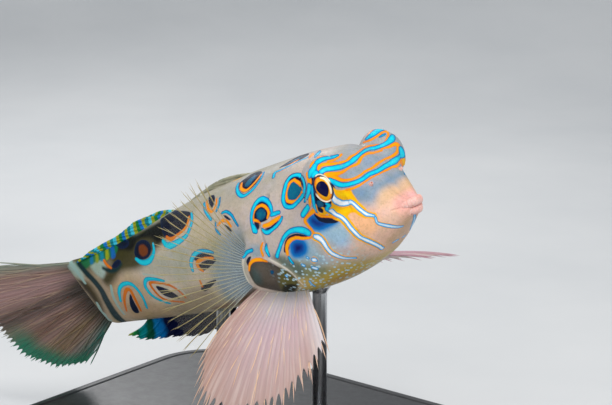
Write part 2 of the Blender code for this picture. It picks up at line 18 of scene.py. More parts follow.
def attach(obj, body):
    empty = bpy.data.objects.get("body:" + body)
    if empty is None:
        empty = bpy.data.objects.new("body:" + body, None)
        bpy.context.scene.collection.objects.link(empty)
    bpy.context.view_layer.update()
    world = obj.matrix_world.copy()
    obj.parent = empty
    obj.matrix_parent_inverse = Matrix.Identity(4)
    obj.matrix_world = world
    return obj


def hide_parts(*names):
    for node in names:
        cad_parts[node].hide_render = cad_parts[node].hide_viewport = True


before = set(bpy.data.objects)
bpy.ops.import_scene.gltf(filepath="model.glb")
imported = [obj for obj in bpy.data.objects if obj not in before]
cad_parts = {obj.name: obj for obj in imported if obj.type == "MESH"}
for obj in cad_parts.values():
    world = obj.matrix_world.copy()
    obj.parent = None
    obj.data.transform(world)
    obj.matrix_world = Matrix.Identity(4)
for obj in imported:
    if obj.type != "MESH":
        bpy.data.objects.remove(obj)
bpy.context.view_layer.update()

MM = 0.001
RNG = np.random.default_rng(7)

# Driving sizes of the fish, in millimetres, as in the part's source
BODY_LENGTH = 48.5
ORBIT_PLACE, ORBIT_RADIUS, ORBIT_TALL = (7.2, 5.5, 4.5), 2.4, 1.25
LOBE_PLACE, LOBE_RADIUS = (18.0, 4.6, -3.2), 2.6
ORBIT_BLEND, LOBE_BLEND = 1.6, 0.8
EYE_LOOK = (0.51, 0.86, -0.03)
EYE_TALL_AXIS = (-0.16, 0.0, 0.99)
STEM_SLANT = 0.18
HEAD_YAW, HEAD_PITCH, HEAD_ROLL = 4.2, 14.7, 4.4
TRUNK_YAW, TRUNK_PITCH = -4.2, 12.5
TAIL_YAW, TAIL_PITCH, TAIL_ROLL = 22.0, -13.0, 16.0
TRUNK_BEND, TAIL_BEND = (11, 30), (28, 58)
FISH_FORWARD, FISH_HEIGHT, SPINE_REFERENCE = 6.0, 31.0, 15.0
SPINE_REACH, SPINE_STEPS = (-10, 75), 171
SIDE_FIN_PLACE = 17.0
BASE_SIZE, BASE_ROUND, BASE_EDGE = (56, 42, 5), 9, 0.8
ROD_RADIUS, ROD_PLACES = 0.8, (13.0, 27.5)

# Camera at the photo's view of the fish: degrees, millimetres and pixels
PHOTO_SIZE = (612, 405)
CAMERA_AZIMUTH, CAMERA_ELEVATION, CAMERA_DISTANCE = 39.2, 14.0, 186.0
CAMERA_RIGHT, CAMERA_UP = -0.1, -1.8
FOCAL_PIXELS = 1735.4
SENSOR_WIDTH = 36.0
CAMERA_RANGE = (0.01, 10)        # nearest and farthest that it sees, in metres

# Mesh density of the skin
RINGS, AROUND, ANGLE_STEPS = 560, 440, 1440


def smooth_curve(*pairs):
    """A smooth function through (place, value) pairs that never overshoots them."""
    place, value = np.array(pairs, float).T
    width = np.diff(place)
    slope = np.diff(value) / width
    tangent = np.concatenate([slope[:1], np.zeros(len(slope) - 1), slope[-1:]])
    for i in range(1, len(slope)):
        if slope[i - 1] * slope[i] > 0:
            before, after = 2 * width[i] + width[i - 1], width[i] + 2 * width[i - 1]
            tangent[i] = (before + after) / (before / slope[i - 1] + after / slope[i])

    def at(where):
        where = np.clip(where, place[0], place[-1])
        k = np.clip(np.searchsorted(place, where, side="right") - 1, 0, len(width) - 1)
        s = (where - place[k]) / width[k]
        rise = width[k] * s * (1 - s)
        ease = s * s * (3 - 2 * s)
        return (value[k] * (1 - ease) + value[k + 1] * ease
                + rise * (tangent[k] * (1 - s) - tangent[k + 1] * s))
    return at


# Outline of the straight body, as in the part's source
BACK = smooth_curve((0, 0.3), (0.8, 0.5), (1.6, 1.1), (2.7, 2.7), (4.0, 4.5), (5.8, 6.2),
                    (8, 7.2), (11, 7.1), (14, 6.8), (18, 6.4), (22, 6.1), (27, 5.9),
                    (33, 5.6), (38, 5.0), (44, 4.4), (48.5, 4.1), (51, 4.1))
BELLY = smooth_curve((0, -0.8), (0.6, -1.0), (1.3, -1.35), (2.3, -2.2), (3.6, -3.4),
                     (5.5, -4.9), (8, -6.1), (11, -7.0), (14, -7.5), (18, -7.8), (22, -7.8),
                     (27, -7.5), (33, -6.8), (38, -6.1), (44, -5.5), (51, -5.3))
HALF_WIDTH = smooth_curve((0, 0.8), (0.5, 1.2), (1.2, 1.8), (2.2, 3.1), (3.5, 4.5),
                          (5.5, 5.8), (8, 6.5), (11, 6.8), (14, 6.9), (17, 6.8), (20, 6.4),
                          (25, 5.5), (30, 4.6), (36, 3.5), (42, 2.6), (47, 1.8), (51, 1.4))
LOW_SWELL = smooth_curve((0, 0), (5, 0.12), (12, 0.16), (20, 0.12), (30, 0.05), (51, 0))
SQUARENESS = smooth_curve((0, 2.0), (8, 2.2), (18, 2.3), (30, 2.1), (51, 2.0))


def smooth_max(a, b, blend):
    mix = np.clip(0.5 + 0.5 * (a - b) / blend, 0, 1)
    return b * (1 - mix) + a * mix + blend * mix * (1 - mix)


def swelling_reach(angle, centre_height, d, place, radius, tall):
    """How far out an egg's surface lies from the section's centre, less where it misses."""
    egg_d, egg_y, egg_z = place
    here = radius ** 2 - (d - egg_d) ** 2
    up = (egg_z - centre_height) / tall
    cos, sin = np.cos(angle), np.sin(angle) / tall
    size = cos ** 2 + sin ** 2
    along = egg_y * cos + up * sin
    inside = along ** 2 - size * (egg_y ** 2 + up ** 2 - here)
    return (along + np.sign(inside) * np.sqrt(np.abs(inside))) / size


def section(d, angle):
    """y and z of the body's surface, d behind the snout, at an angle from +y towards +z."""
    top, low, half = BACK(d), BELLY(d), HALF_WIDTH(d)
    centre, tall = (top + low) / 2, (top - low) / 2
    cos, sin, power = np.cos(angle), np.sin(angle), SQUARENESS(d)
    reach = (np.abs(cos / half) ** power + np.abs(sin / tall) ** power) ** (-1 / power)
    y, z = reach * cos * (1 - LOW_SWELL(d) * sin), reach * sin
    reach, around = np.hypot(y, z), np.arctan2(z, y)
    for place, radius, tall, blend in ((ORBIT_PLACE, ORBIT_RADIUS, ORBIT_TALL, ORBIT_BLEND),
                                       (LOBE_PLACE, LOBE_RADIUS, 1.0, LOBE_BLEND)):
        for side in (1, -1):
            egg = (place[0], side * place[1], place[2])
            swollen = swelling_reach(around, centre, d, egg, radius, tall)
            reach = smooth_max(reach, swollen, blend)
    return reach * np.cos(around), centre + reach * np.sin(around)


def turned(yaw, pitch, roll):
    """Axes of the spine (forward, left, up) as the columns of a matrix, from radians."""
    forward = np.array([math.cos(pitch) * math.cos(yaw), math.cos(pitch) * math.sin(yaw),
                        math.sin(pitch)])
    left = np.array([-math.sin(yaw), math.cos(yaw), 0.0])
    up = np.cross(forward, left)
    return np.stack([forward, math.cos(roll) * left + math.sin(roll) * up,
                     math.cos(roll) * up - math.sin(roll) * left], 1)


def eased(where, start, end):
    s = np.clip((where - start) / (end - start), 0, 1)
    return s * s * (3 - 2 * s)


class Spine:
    """The bent spine: it carries points of the straight fish to the world, in millimetres."""

    def __init__(self):
        self.d = np.linspace(*SPINE_REACH, SPINE_STEPS)
        trunk, tail = eased(self.d, *TRUNK_BEND), eased(self.d, *TAIL_BEND)
        yaw = HEAD_YAW + TRUNK_YAW * trunk + TAIL_YAW * tail
        pitch = HEAD_PITCH + TRUNK_PITCH * trunk + TAIL_PITCH * tail
        roll = HEAD_ROLL + TAIL_ROLL * (trunk + tail) / 2
        self.axes = np.array([turned(*np.radians(turn)) for turn in zip(yaw, pitch, roll)])
        steps = np.diff(self.d)[:, None] * (self.axes[1:, :, 0] + self.axes[:-1, :, 0]) / 2
        self.line = -np.concatenate([np.zeros((1, 3)), np.cumsum(steps, 0)])
        self.line += np.array([FISH_FORWARD, 0, FISH_HEIGHT]) - self.frame(SPINE_REFERENCE)[0]

    def frame(self, d):
        k = np.clip((np.asarray(d, float) - self.d[0]) / (self.d[1] - self.d[0]),
                    0, len(self.d) - 1.001)
        i = k.astype(int)
        a = (k - i)[..., None]
        line = self.line[i] * (1 - a) + self.line[i + 1] * a
        return line, self.axes[i] * (1 - a[..., None]) + self.axes[i + 1] * a[..., None]

    def bend(self, points):
        points = np.asarray(points, float)
        line, axes = self.frame(-points[..., 0])
        return line + axes[..., 1] * points[..., 1:2] + axes[..., 2] * points[..., 2:3]

    def rigid(self, points, d):
        """Points near place d carried as one stiff piece, for the fins at the sides."""
        line, axes = self.frame(d)
        return line + (np.asarray(points, float) + [d, 0, 0]) @ axes.T


SPINE = Spine()


class Camera:
    """The photo's camera: where it stands, and the ray through a pixel."""

    def __init__(self):
        azimuth, elevation = math.radians(CAMERA_AZIMUTH), math.radians(CAMERA_ELEVATION)
        self.right = np.array([math.cos(azimuth), math.sin(azimuth), 0])
        self.back = np.array([math.sin(azimuth) * math.cos(elevation),
                              -math.cos(azimuth) * math.cos(elevation), math.sin(elevation)])
        self.up = np.cross(self.back, self.right)
        aim = SPINE.frame(SPINE_REFERENCE)[0]
        self.place = (aim + CAMERA_DISTANCE * self.back - CAMERA_RIGHT * self.right
                      - CAMERA_UP * self.up)

    def ray(self, pixel):
        x = (pixel[0] - PHOTO_SIZE[0] / 2) / FOCAL_PIXELS
        y = (PHOTO_SIZE[1] / 2 - pixel[1]) / FOCAL_PIXELS
        ray = x * self.right + y * self.up - self.back
        return ray / np.linalg.norm(ray)

    def pixels(self, points):
        """Pixel places of world points in millimetres, and their depth."""
        q = np.asarray(points, float) - self.place
        depth = -(q @ self.back)
        return np.stack([PHOTO_SIZE[0] / 2 + FOCAL_PIXELS * (q @ self.right) / depth,
                         PHOTO_SIZE[1] / 2 - FOCAL_PIXELS * (q @ self.up) / depth], -1), depth

    def build(self):
        data = bpy.data.cameras.new("photo_camera")
        data.sensor_width = SENSOR_WIDTH
        data.lens = FOCAL_PIXELS / PHOTO_SIZE[0] * SENSOR_WIDTH
        data.clip_start, data.clip_end = CAMERA_RANGE
        made = add_object("photo_camera", data)
        turn = Matrix([self.right, self.up, self.back]).transposed().to_4x4()
        made.matrix_world = Matrix.Translation(self.place * MM) @ turn
        bpy.context.scene.camera = made


CAMERA = Camera()


def grid_faces(rows, columns, closed):
    """Quads over a grid of points, wrapping round in the second direction if closed."""
    i = np.arange(rows - 1)[:, None]
    j = np.arange(columns if closed else columns - 1)[None, :]
    k = (j + 1) % columns
    quads = [i * columns + j, i * columns + k, (i + 1) * columns + k, (i + 1) * columns + j]
    return np.stack(np.broadcast_arrays(*quads), -1).reshape(-1, 4)


def capped(rows, columns, flip=False):
    """Faces of a closed form: a grid wrapped round, with a point at each end."""
    faces = grid_faces(rows, columns, closed=True).tolist()
    first, last = rows * columns, rows * columns + 1
    j = np.arange(columns)
    k = (j + 1) % columns
    faces += [(first, b, a) for a, b in zip(j, k)]
    faces += [(last, a, b) for a, b in zip(j + (rows - 1) * columns, k + (rows - 1) * columns)]
    return [face[::-1] for face in faces] if flip else faces


def add_object(name, data):
    made = bpy.data.objects.new(name, data)
    bpy.context.scene.collection.objects.link(made)
    return made


def add_mesh(name, points, faces, look):
    """A smooth mesh object in metres from points in millimetres."""
    mesh = bpy.data.meshes.new(name)
    mesh.from_pydata((np.asarray(points) * MM).tolist(), [], [list(map(int, f)) for f in faces])
    mesh.materials.append(look)
    mesh.shade_smooth()
    return add_object(name, mesh)


def make_piece(name, points, faces, look, replaced=()):
    """A mesh that rides on the fish and hides the solids that it replaces."""
    made = add_mesh(name, points, faces, look)
    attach(made, "root")
    if replaced:
        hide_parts(*replaced)
    return made


def store(piece, **fields):
    """Per-point values that the piece's material reads by name."""
    for name, values in fields.items():
        values = np.asarray(values, np.float32)
        kind = "FLOAT_COLOR" if values.ndim == 2 else "FLOAT"
        made = piece.data.attributes.new(name, kind, "POINT")
        if values.ndim == 2:
            values = np.concatenate([values, np.ones((len(values), 1), np.float32)], 1)
            made.data.foreach_set("color", values.ravel())
        else:
            made.data.foreach_set("value", values)


def eye_frame(side):
    """Centre of an orbit on the straight fish, and its axes: across, tall and along the gaze."""
    look = np.array(EYE_LOOK) * [1, side, 1]
    look /= np.linalg.norm(look)
    tall = np.array(EYE_TALL_AXIS) - look * np.dot(look, EYE_TALL_AXIS)
    tall /= np.linalg.norm(tall)
    d, y, z = ORBIT_PLACE
    return np.array([-d, side * y, z]), np.stack([np.cross(tall, look) * side, tall, look])


# Markings of the skin, in pixels of the photo: strokes are (x, y, width) along a line and fills
# are closed outlines. Those of the head's top run across both orbits: they are drawn as the photo
# shows them, and mirrored only onto what it hides. All others are repeated on the left side.
TOP_CYAN = {
    "brow stripe": [(321, 172, 4.6), (326, 169.2, 4.8), (333, 168.3, 4.8), (338, 167.3, 5),
        (341.5, 166.6, 4.8), (345, 165.3, 4.4), (350, 162.6, 4.2), (354, 159.4, 4.8),
        (357.4, 156.8, 3.8), (360, 154.4, 2.8), (363, 152.1, 3), (366, 150.2, 3.2),
        (370, 148.7, 3.3), (375, 148, 3.6), (380, 146.2, 3.5), (385, 144.2, 3.9),
        (388.6, 141.8, 4.8), (391.6, 139.2, 6.6), (392.4, 137, 5)],
    "snout stripe": [(330, 179.5, 3.4), (334, 182, 4.8), (338.5, 184.2, 5), (343.5, 185, 4.6),
        (350, 184, 4.1), (357, 181.8, 3.9), (363, 178.8, 3.9), (369, 174.2, 3.9), (375, 172, 4),
        (380, 169.6, 4.1), (385, 166.2, 4.4), (390, 163.6, 5), (394.6, 160.8, 6),
        (397.6, 158.6, 5)],
    "far orbit front": [(400.2, 147.6, 2.6), (401.4, 150.6, 4.6), (402.4, 153.8, 5.4),
        (402.6, 155.8, 4.2), (399.6, 156.4, 3)],
    "far orbit crest": [(366, 139.2, 1.8), (369, 137, 3), (372, 134.6, 4.4), (375, 132.4, 5),
        (378, 130.6, 4.4), (381, 129.4, 3.2), (384, 129.4, 1.6)],
    "far orbit inner": [(379.5, 137, 0.8), (382.5, 135.4, 1.6), (385, 134.2, 1)],
    "short top stripe": [(317, 162.4, 4.4), (321.5, 159.6, 4.4), (327, 158, 3.4), (333, 157, 2.8),
        (338, 155.3, 1.8)],
    "short top dash": [(315, 156.5, 1.6), (318, 153.6, 2.4), (320, 151.5, 1.6)],
    "far rim": [(404.8, 169, 1.4), (405.2, 171.5, 1.8), (405, 173.6, 1.4)],
}
TOP_ORANGE = {
    "above brow stripe": [(319.6, 171, 2.8), (318.8, 167.2, 3.4), (322, 164.8, 3.4),
        (328, 164.2, 3.4), (333, 164, 3.2), (338, 163.2, 2.8), (342.5, 162, 2.2), (347, 160.4, 2),
        (350, 157.6, 2.8), (352.6, 155.8, 2.2), (356, 153.8, 1.5), (360, 150.4, 1.2),
        (365, 147.4, 1.5), (370, 145.8, 1.6), (375, 145.2, 1.4), (379, 144.6, 1)],
    "below brow stripe": [(325.6, 174.4, 3.6), (331, 174, 4.2), (337, 173.6, 3.8), (342, 172.2, 3),
        (346, 169.8, 2.4), (350, 167.1, 2), (354, 165.4, 2.3), (358, 163.4, 2.8), (360, 160, 3.2),
        (361.4, 157.4, 2.8), (364.4, 154.9, 2.4), (368.4, 153.2, 2.2), (373, 152.8, 2),
        (378, 151.5, 1.8), (382, 150.4, 1.5)],
    "front patch": [(381, 148.8, 1), (386, 147.7, 1.6), (390, 146.5, 2.4), (392.6, 145, 3.4),
        (395.4, 144, 3.8), (398, 145.2, 3.6), (398, 148.6, 3), (397.2, 151.6, 2.8),
        (395.4, 154, 2.8), (393, 155.6, 3)],
    "above snout stripe": [(325.6, 174.6, 3.8), (331, 176, 4.2), (337, 178.2, 4), (343, 180.2, 3),
        (350, 179.6, 2.2), (356, 177.6, 2), (361, 174.6, 1.8), (365, 171.4, 2.2),
        (369, 169.5, 2.2), (373, 167.4, 2.2), (377, 164.2, 2.5), (381, 161.5, 2.4),
        (385, 159.2, 2), (389, 157.6, 2), (393, 155.8, 2.8)],
    "below snout stripe": [(346, 189.6, 2.4), (352, 188.6, 2.2), (358, 186.2, 2),
        (364, 182.4, 1.6), (370.4, 178.2, 1.4), (378, 174.2, 1.4), (383, 171.6, 1.6),
        (388, 169.5, 1.8), (392, 167, 2.1), (396, 166.3, 2.4), (399, 163.8, 2), (400, 160.2, 2.2)],
    "far orbit edge": [(365.4, 139.4, 1), (368, 135.6, 1.5), (370, 132.8, 1.7), (373, 130, 1.6),
        (376, 128.5, 1.3), (378.6, 128, 1)],
    "far orbit loop": [(363.5, 142.5, 1.3), (368, 141, 1.6), (372, 139.4, 1.8), (376, 137, 1.8),
        (379, 134.8, 1.8), (382, 132.6, 1.8), (385, 131.4, 1.8), (387.6, 132.2, 2),
        (388.3, 135, 2), (387, 138.4, 2.1), (385.6, 140.8, 1.8)],
    "below short top stripe": [(328, 161.5, 2.2), (334, 160, 2.2), (338, 157.2, 2.4),
        (341.4, 154.6, 2)],
    "top dash": [(309, 157.5, 1.5), (313, 154, 2)],
    "far rim": [(400.6, 158.6, 1.4), (401.6, 163, 1.2), (402.6, 167.4, 1)],
}
# Strokes of the right side, from the orbit back to the tail
FLANK_CYAN = {
    "orbit top": [(309.6, 176, 3.4), (310.6, 172.4, 5.4), (313.2, 168.8, 5.6), (315, 165.2, 4.6)],
    "orbit front": [(313, 175, 4), (315.8, 172.4, 4.6), (318.4, 174, 2.6)],
    "orbit rear": [(309.4, 185.6, 4.4), (308.8, 190.4, 4.6), (307.2, 196, 3.4), (305, 201, 2.6)],
    "behind eye": [(312.2, 186, 2.2), (312.4, 193, 2.6), (313.2, 200, 3), (314.4, 207, 3.2),
        (316.4, 212, 2)],
    "under eye": [(326.6, 203.4, 2.6), (329, 205.4, 4), (326.8, 208.8, 3.4), (330, 211.8, 3.4),
        (334, 213.4, 3)],
    "low orbit patch": [(303, 214.5, 5.2), (305.5, 210.5, 5.6), (308, 207, 4.6)],
    "gill ring outer": [(254, 231, 4), (251.5, 222, 2.8), (252, 212, 3.4), (256, 203, 4.4),
        (262, 198.8, 4.8), (268, 202, 4), (271, 208, 3.4), (272, 213, 2)],
    "gill ring tail": [(253.5, 226, 3.4), (256, 231.5, 4)],
    "gill dash upper": [(271.5, 215, 3), (275, 213.5, 3.8), (279, 212.3, 3)],
    "gill dash lower": [(262, 230, 3), (267, 232.5, 4), (273, 229, 3.2), (279, 223, 3),
        (282, 217.5, 2.2)],
    "gill slip": [(266, 245, 2.8), (266.5, 250, 3.6), (269, 255.5, 2.6)],
    "low cheek arc": [(277, 256, 4), (279, 250, 3.4), (281, 244, 3.4), (284, 237.5, 3.6),
        (289, 232, 4.2), (296, 229.8, 5), (303, 230.5, 6.2), (308.5, 233, 5.4)],
    "low cheek tip": [(289, 257.5, 2), (291, 261, 2.4), (293, 263.5, 2)],
    "nape slip": [(273.5, 177, 3), (275, 172.5, 2.6), (281, 170, 2.2), (290, 165.4, 2),
        (300, 160.6, 2), (308, 157.3, 2)],
    "back ring": [(238.5, 183, 2), (237, 188, 3), (239, 194, 3.8), (243.5, 196, 3.4),
        (249, 192.8, 3), (255, 187, 2.6), (261, 178.5, 2), (264, 172, 1.6)],
    "lobe edge": [(244, 257, 2.4), (247, 252.3, 3.6), (252, 250.2, 3)],
    "small back ring": [(204, 203, 2), (205, 210, 2.6), (208, 215, 3), (211, 219.5, 2.6)],
    "small back side": [(216.5, 211, 2), (219, 205, 2), (220, 197.5, 1.4)],
    "fine ring top": [(222, 213, 2), (226, 211.6, 2.4), (231, 214.5, 2.4), (235, 221, 2),
        (238, 226, 1.4)],
    "fine ring side": [(215.5, 222, 1.4), (216, 229, 2), (220, 235, 2)],
    "saddle arc": [(191.5, 213, 3), (192, 221, 3.4), (189.5, 229, 3.6), (186, 236, 3.8),
        (178, 242, 5.4), (168, 246, 6.4), (163, 241, 4)],
    "mid ring": [(192.5, 270, 3.8), (191, 262.5, 4.4), (194, 255, 4.4), (200, 251.4, 3.6),
        (208, 251.2, 2.8), (213, 252.6, 2)],
    "low ring": [(170, 303.5, 1.8), (163, 301.5, 2.4), (154, 297, 2.8), (148, 291, 3.4),
        (145, 285, 3.8), (146.5, 279.5, 3.8), (154, 279, 3), (164, 281, 2)],
    "arch ring": [(120.5, 301, 2.6), (119, 291, 3.4), (122, 285, 4), (128, 283.3, 3.8),
        (134, 286, 3.4), (140, 293, 3), (144, 300, 2.6), (147, 308, 2)],
    "small spot arc": [(136, 259, 3), (142, 262.6, 5), (148.5, 261.5, 5.2), (152.5, 256.5, 4.4),
        (154, 250, 3.8), (153, 244, 2.6)],
}
FLANK_ORANGE = {
    "orbit rear": [(307, 173.6, 2.8), (308.4, 177.4, 5), (309.4, 181, 5.2), (309.8, 183.6, 3)],
    "orbit upper": [(315.4, 160.4, 2.4), (312.2, 163.4, 3), (311.2, 166.6, 3), (312.4, 169.2, 2)],
    "orbit crest": [(318, 157.6, 2.2), (322, 156.4, 2), (326, 155.8, 1.4)],
    "orbit lower": [(309.6, 195, 2.2), (309.8, 201, 3.4), (309.6, 207, 2.2)],
    "blue spot edge": [(314, 210.4, 4.6), (310, 213.8, 3.6), (306.6, 217.2, 3),
        (304.8, 220.4, 2.8), (307, 224.6, 2.6), (311, 229, 2.4), (314.2, 233.6, 2)],
    "blue spot top": [(316, 213.4, 2), (321, 216, 2.4), (328, 216.5, 2.2), (336, 217.4, 2)],
    "gill ring": [(253, 219.5, 2.4), (253.4, 213, 2.6), (256.5, 208, 2.8), (261.5, 205.3, 3),
        (266, 207.4, 2.8), (268.6, 212.5, 2.6), (267.4, 218, 2)],
    "gill ring foot": [(253, 219.8, 2.4), (257.5, 221, 2.4), (260, 223.5, 1.8)],
    "gill dash": [(264, 226, 3.4), (269, 224.5, 4), (274, 221, 4), (279.5, 217.3, 3)],
    "gill slip": [(262.5, 243, 1.6), (261, 249, 2.4), (263, 255.5, 2.6)],
    "low cheek ring": [(287.5, 254, 3), (286.8, 247, 3.6), (290, 240.6, 3.6), (296, 237.8, 3),
        (304, 238.4, 2.6), (312, 237.4, 1.8)],
    "nape slip": [(277, 172, 2), (284, 169, 2.4), (290, 164.6, 2.2), (298, 160, 1.6)],
    "back ring": [(241.6, 183, 2), (241.2, 188.5, 3), (245.4, 190.6, 3), (250.5, 187, 2.6),
        (256, 181, 2.3), (261.5, 174, 1.8)],
    "lobe ring": [(249, 270, 2.6), (250, 264, 3.2), (254, 260.3, 3.2), (260, 259.6, 3.2),
        (267, 261.2, 2)],
    "small back ring": [(207, 201, 2), (208.2, 208, 2.6), (212, 211.8, 2.4), (216, 204.5, 2),
        (216.5, 198.5, 1.4)],
    "fine dashes": [(218, 225, 2.4), (222.5, 220.5, 3), (227.5, 222, 2.4), (231, 226.5, 2)],
    "saddle arc": [(189, 217, 2.6), (187, 225, 3), (183, 230.5, 2.8), (177, 235, 2.4),
        (171, 239.4, 4), (166.5, 237, 3)],
    "mid ring": [(213, 258, 2), (205, 258.4, 2.6), (197.5, 262, 3.8), (198.5, 267.5, 4),
        (203, 271, 2.4)],
    "mid dash": [(200, 281, 2.6), (202, 286, 3)],
    "low ring": [(184, 302, 1.6), (172, 301, 2), (162, 298, 2.6), (155, 291.5, 2.8),
        (150, 284, 3.2), (153, 282.4, 2.6), (161, 283.4, 2.6), (170, 285.4, 2.6), (179, 291, 2.2),
        (186, 298, 1.8)],
    "arch ring": [(126.5, 311, 2), (124.3, 300, 2.8), (126, 290.5, 3.8), (130, 290, 3.8),
        (134, 297, 3.4), (138, 305, 3), (141, 311, 2)],
    "stem spot": [(104, 260.5, 2.8), (107, 265, 3), (111, 268, 2.2)],
}
# White-centred lines on the cheek, with a blue edge
FLANK_PALE = {
    "cheek line": [(331.6, 191, 3), (333, 196, 4), (336, 200.4, 5.2), (341, 203.2, 5.6),
        (346.5, 203, 4.8), (351, 202, 3.4), (355, 205, 3.2), (360, 209.5, 3.2), (366, 213.8, 3.4),
        (370, 215, 2.6), (374, 215.8, 2)],
    "corner line": [(375.4, 217.5, 1.6), (376.8, 222, 1.8), (380, 224, 2.2), (386, 225.5, 2.8),
        (391, 226.4, 3), (398, 227, 2.6), (403, 226.3, 1.6)],
    "long line": [(331, 210.5, 5), (336, 214.5, 3.6), (342, 217.5, 3.4), (346, 221.5, 3.4),
        (350, 227, 3.4), (355, 232.5, 3.4), (360, 237, 3.4), (366, 240, 3.4), (372, 242.5, 3.4),
        (378, 245.5, 3.4), (382.5, 248.5, 3.6)],
    "low line": [(315, 236.6, 3.8), (318.5, 237.6, 5), (322.5, 240.8, 4.4), (325.8, 246, 4),
        (329.4, 251, 3.8), (334.5, 254.6, 3.8), (340.5, 257, 3.4), (347, 258.2, 2.6),
        (356, 258, 1.8)],
    "chin dash": [(393, 242.5, 1.6), (396, 240.8, 2.4), (398.5, 239.5, 1.4)],
    "throat dash": [(309.5, 281, 1.4), (311.5, 284, 1.6), (315, 286.4, 1.4)],
    "throat dot": [(313.5, 260, 4.4), (315, 260, 4.4)],
    "throat oval": [(313, 267.6, 3.2), (316.5, 268.6, 3.4)],
    "throat spot": [(302.5, 265, 2.6), (304, 265.6, 2.6)],
    "gill dot": [(307, 257.4, 2), (308, 258, 2)],
    "lobe dot": [(286, 275.6, 2), (287, 276.6, 2)],
}
# The same on the far side of the head, drawn once
FAR_PALE = {
    "far chin": [(415, 213.6, 1.4), (414.4, 219, 1.8), (412.6, 225, 1.8), (410.6, 230, 1.2)],
}
FAR_YELLOW = {
    "far rim": [(403.4, 160, 3.6), (403.9, 163.6, 3.4), (404, 166.8, 1.8)],
}
# How far the amber border of a white-centred line reaches past its edge, in pixels, from the
# line's start to its end
AMBER_BORDERS = {"cheek line": (0.6, 1.5), "corner line": (0.8, 0.5), "long line": (3.0, 0.9),
                 "low line": (1.9, 0.9)}
# Pale cream lines: the lobe's rim, a painted highlight along its crease, and the edge of the
# tail's base
FLANK_CREAM = {
    "lobe rim": [(245.4, 254, 2), (243.6, 259, 3.6), (243, 266, 4), (245, 274, 3.6),
        (249, 281, 3.2), (254, 286.6, 2)],
    # painted highlight along the lobe's crease
    "lobe crease": [(269, 258.6, 1), (276, 262.4, 1.2), (283, 266.6, 1.2), (290, 271, 1.2),
        (297, 278, 1.4), (303.5, 285, 1)],
    "tail base top": [(66, 259, 5), (72, 265, 5.4), (78, 273, 4.6), (85, 283, 3)],
    "tail base low": [(97, 303, 3), (101, 311, 4.6), (105, 318, 4.6), (109, 325, 3)],
    "tail base front": [(111, 286, 3), (113, 296, 4), (118, 306, 4), (124, 314, 3)],
    "stem dash": [(143, 274, 1.4), (152, 275.4, 1.8), (163, 276.2, 1.2)],
    "stem dash low": [(151, 279.4, 1.2), (160, 280, 1.4), (167, 280.4, 1)],
    "low dash": [(178, 287, 1.4), (182, 290.4, 1.8), (185, 294, 1.2)],
}
# Dark teal lines at the tail's base
FLANK_DARK = {
    "tail base": [(79, 264, 4.6), (87, 273.6, 6.6), (95, 282, 8), (101.6, 290.6, 9),
        (106.4, 300, 9.6), (112, 309.6, 10), (118, 317.6, 10), (124, 322, 6)],
    "stem curve": [(103, 268, 2.4), (109, 270.6, 3.6), (116, 269.4, 3.6), (121, 264, 2.4)],
}
# Closed outlines: dark rings and spots, teal and rust centres, soft blue spots and yellow fields
FLANK_NAVY = {
    "gill ring": [(255, 222), (253.5, 212), (257.5, 204), (262.5, 201), (268, 204.5), (270, 210),
        (268.5, 218), (262, 222)],
    "gill ring tail": [(254.5, 222), (257.5, 223), (258.5, 229.5), (256, 227)],
    "gill dash": [(265, 229), (271, 226.5), (278, 220.5), (276, 225), (270, 229.5)],
    "low cheek": [(284.3, 252), (285, 243), (289, 236.5), (296, 234), (304, 235), (309, 237),
        (303, 238.6), (295, 239), (290, 243), (288.5, 250)],
    "nape": [(279, 168), (288, 162), (299, 156), (309, 153.5), (304, 158), (290, 164)],
    "back ring": [(239.5, 184), (246, 178), (255, 172.5), (262, 172), (257, 182), (249, 190),
        (242, 192)],
    "lobe line": [(246.5, 262), (248, 258), (251, 256.5), (250, 260), (248.5, 266)],
    "small back": [(209, 197), (214, 195.5), (214.5, 201), (212, 208), (209.5, 204)],
    "fine dash": [(223, 215), (227, 216.5), (231, 220), (227, 219)],
    "fine dash low": [(224, 225), (228, 226.5), (232, 231), (228, 230)],
    "saddle": [(161, 217), (169, 210.5), (180, 211), (190, 212.5), (189.5, 220), (185, 228),
        (178, 233), (171, 239), (166, 238), (162, 230)],
    "mid upper": [(194, 259), (198, 254), (206, 253.6), (214, 257), (206, 258.6), (198, 261)],
    "mid lower": [(198, 266.5), (205, 261), (216, 259.6), (210, 266.5), (202, 271)],
    "mid low dash": [(201, 288.5), (207, 283), (216, 280), (211, 287), (205, 291)],
    "low ring": [(156, 286.5), (164, 288), (172, 292), (180, 298), (172, 298), (163, 294.5)],
    "arch ring": [(130, 294), (134, 302), (139, 312), (134, 312), (130, 304)],
    "small spot": [(134.5, 251), (137, 243), (143, 240), (149, 243), (151, 250), (148, 257),
        (141, 259.5), (136, 257)],
    "stem dark": [(115, 243), (121, 239), (128, 241), (128, 246), (121, 248.5)],
    "stem low": [(112, 266), (117, 260), (121, 262), (116, 268)],
    "orbit shade": [(311, 180), (314, 172), (320, 170), (327, 176), (333, 184), (336, 193),
        (333, 202), (327, 210), (320, 209), (314.5, 203), (311.5, 193)],
    "under eye": [(315, 204), (322, 204.5), (327, 208), (326, 213), (320, 212), (316, 208)],
    "cheek spot top": [(314, 213.6), (321, 216.4), (330, 217), (340, 219), (336, 222.6),
        (327, 223), (319, 220.6)],
}
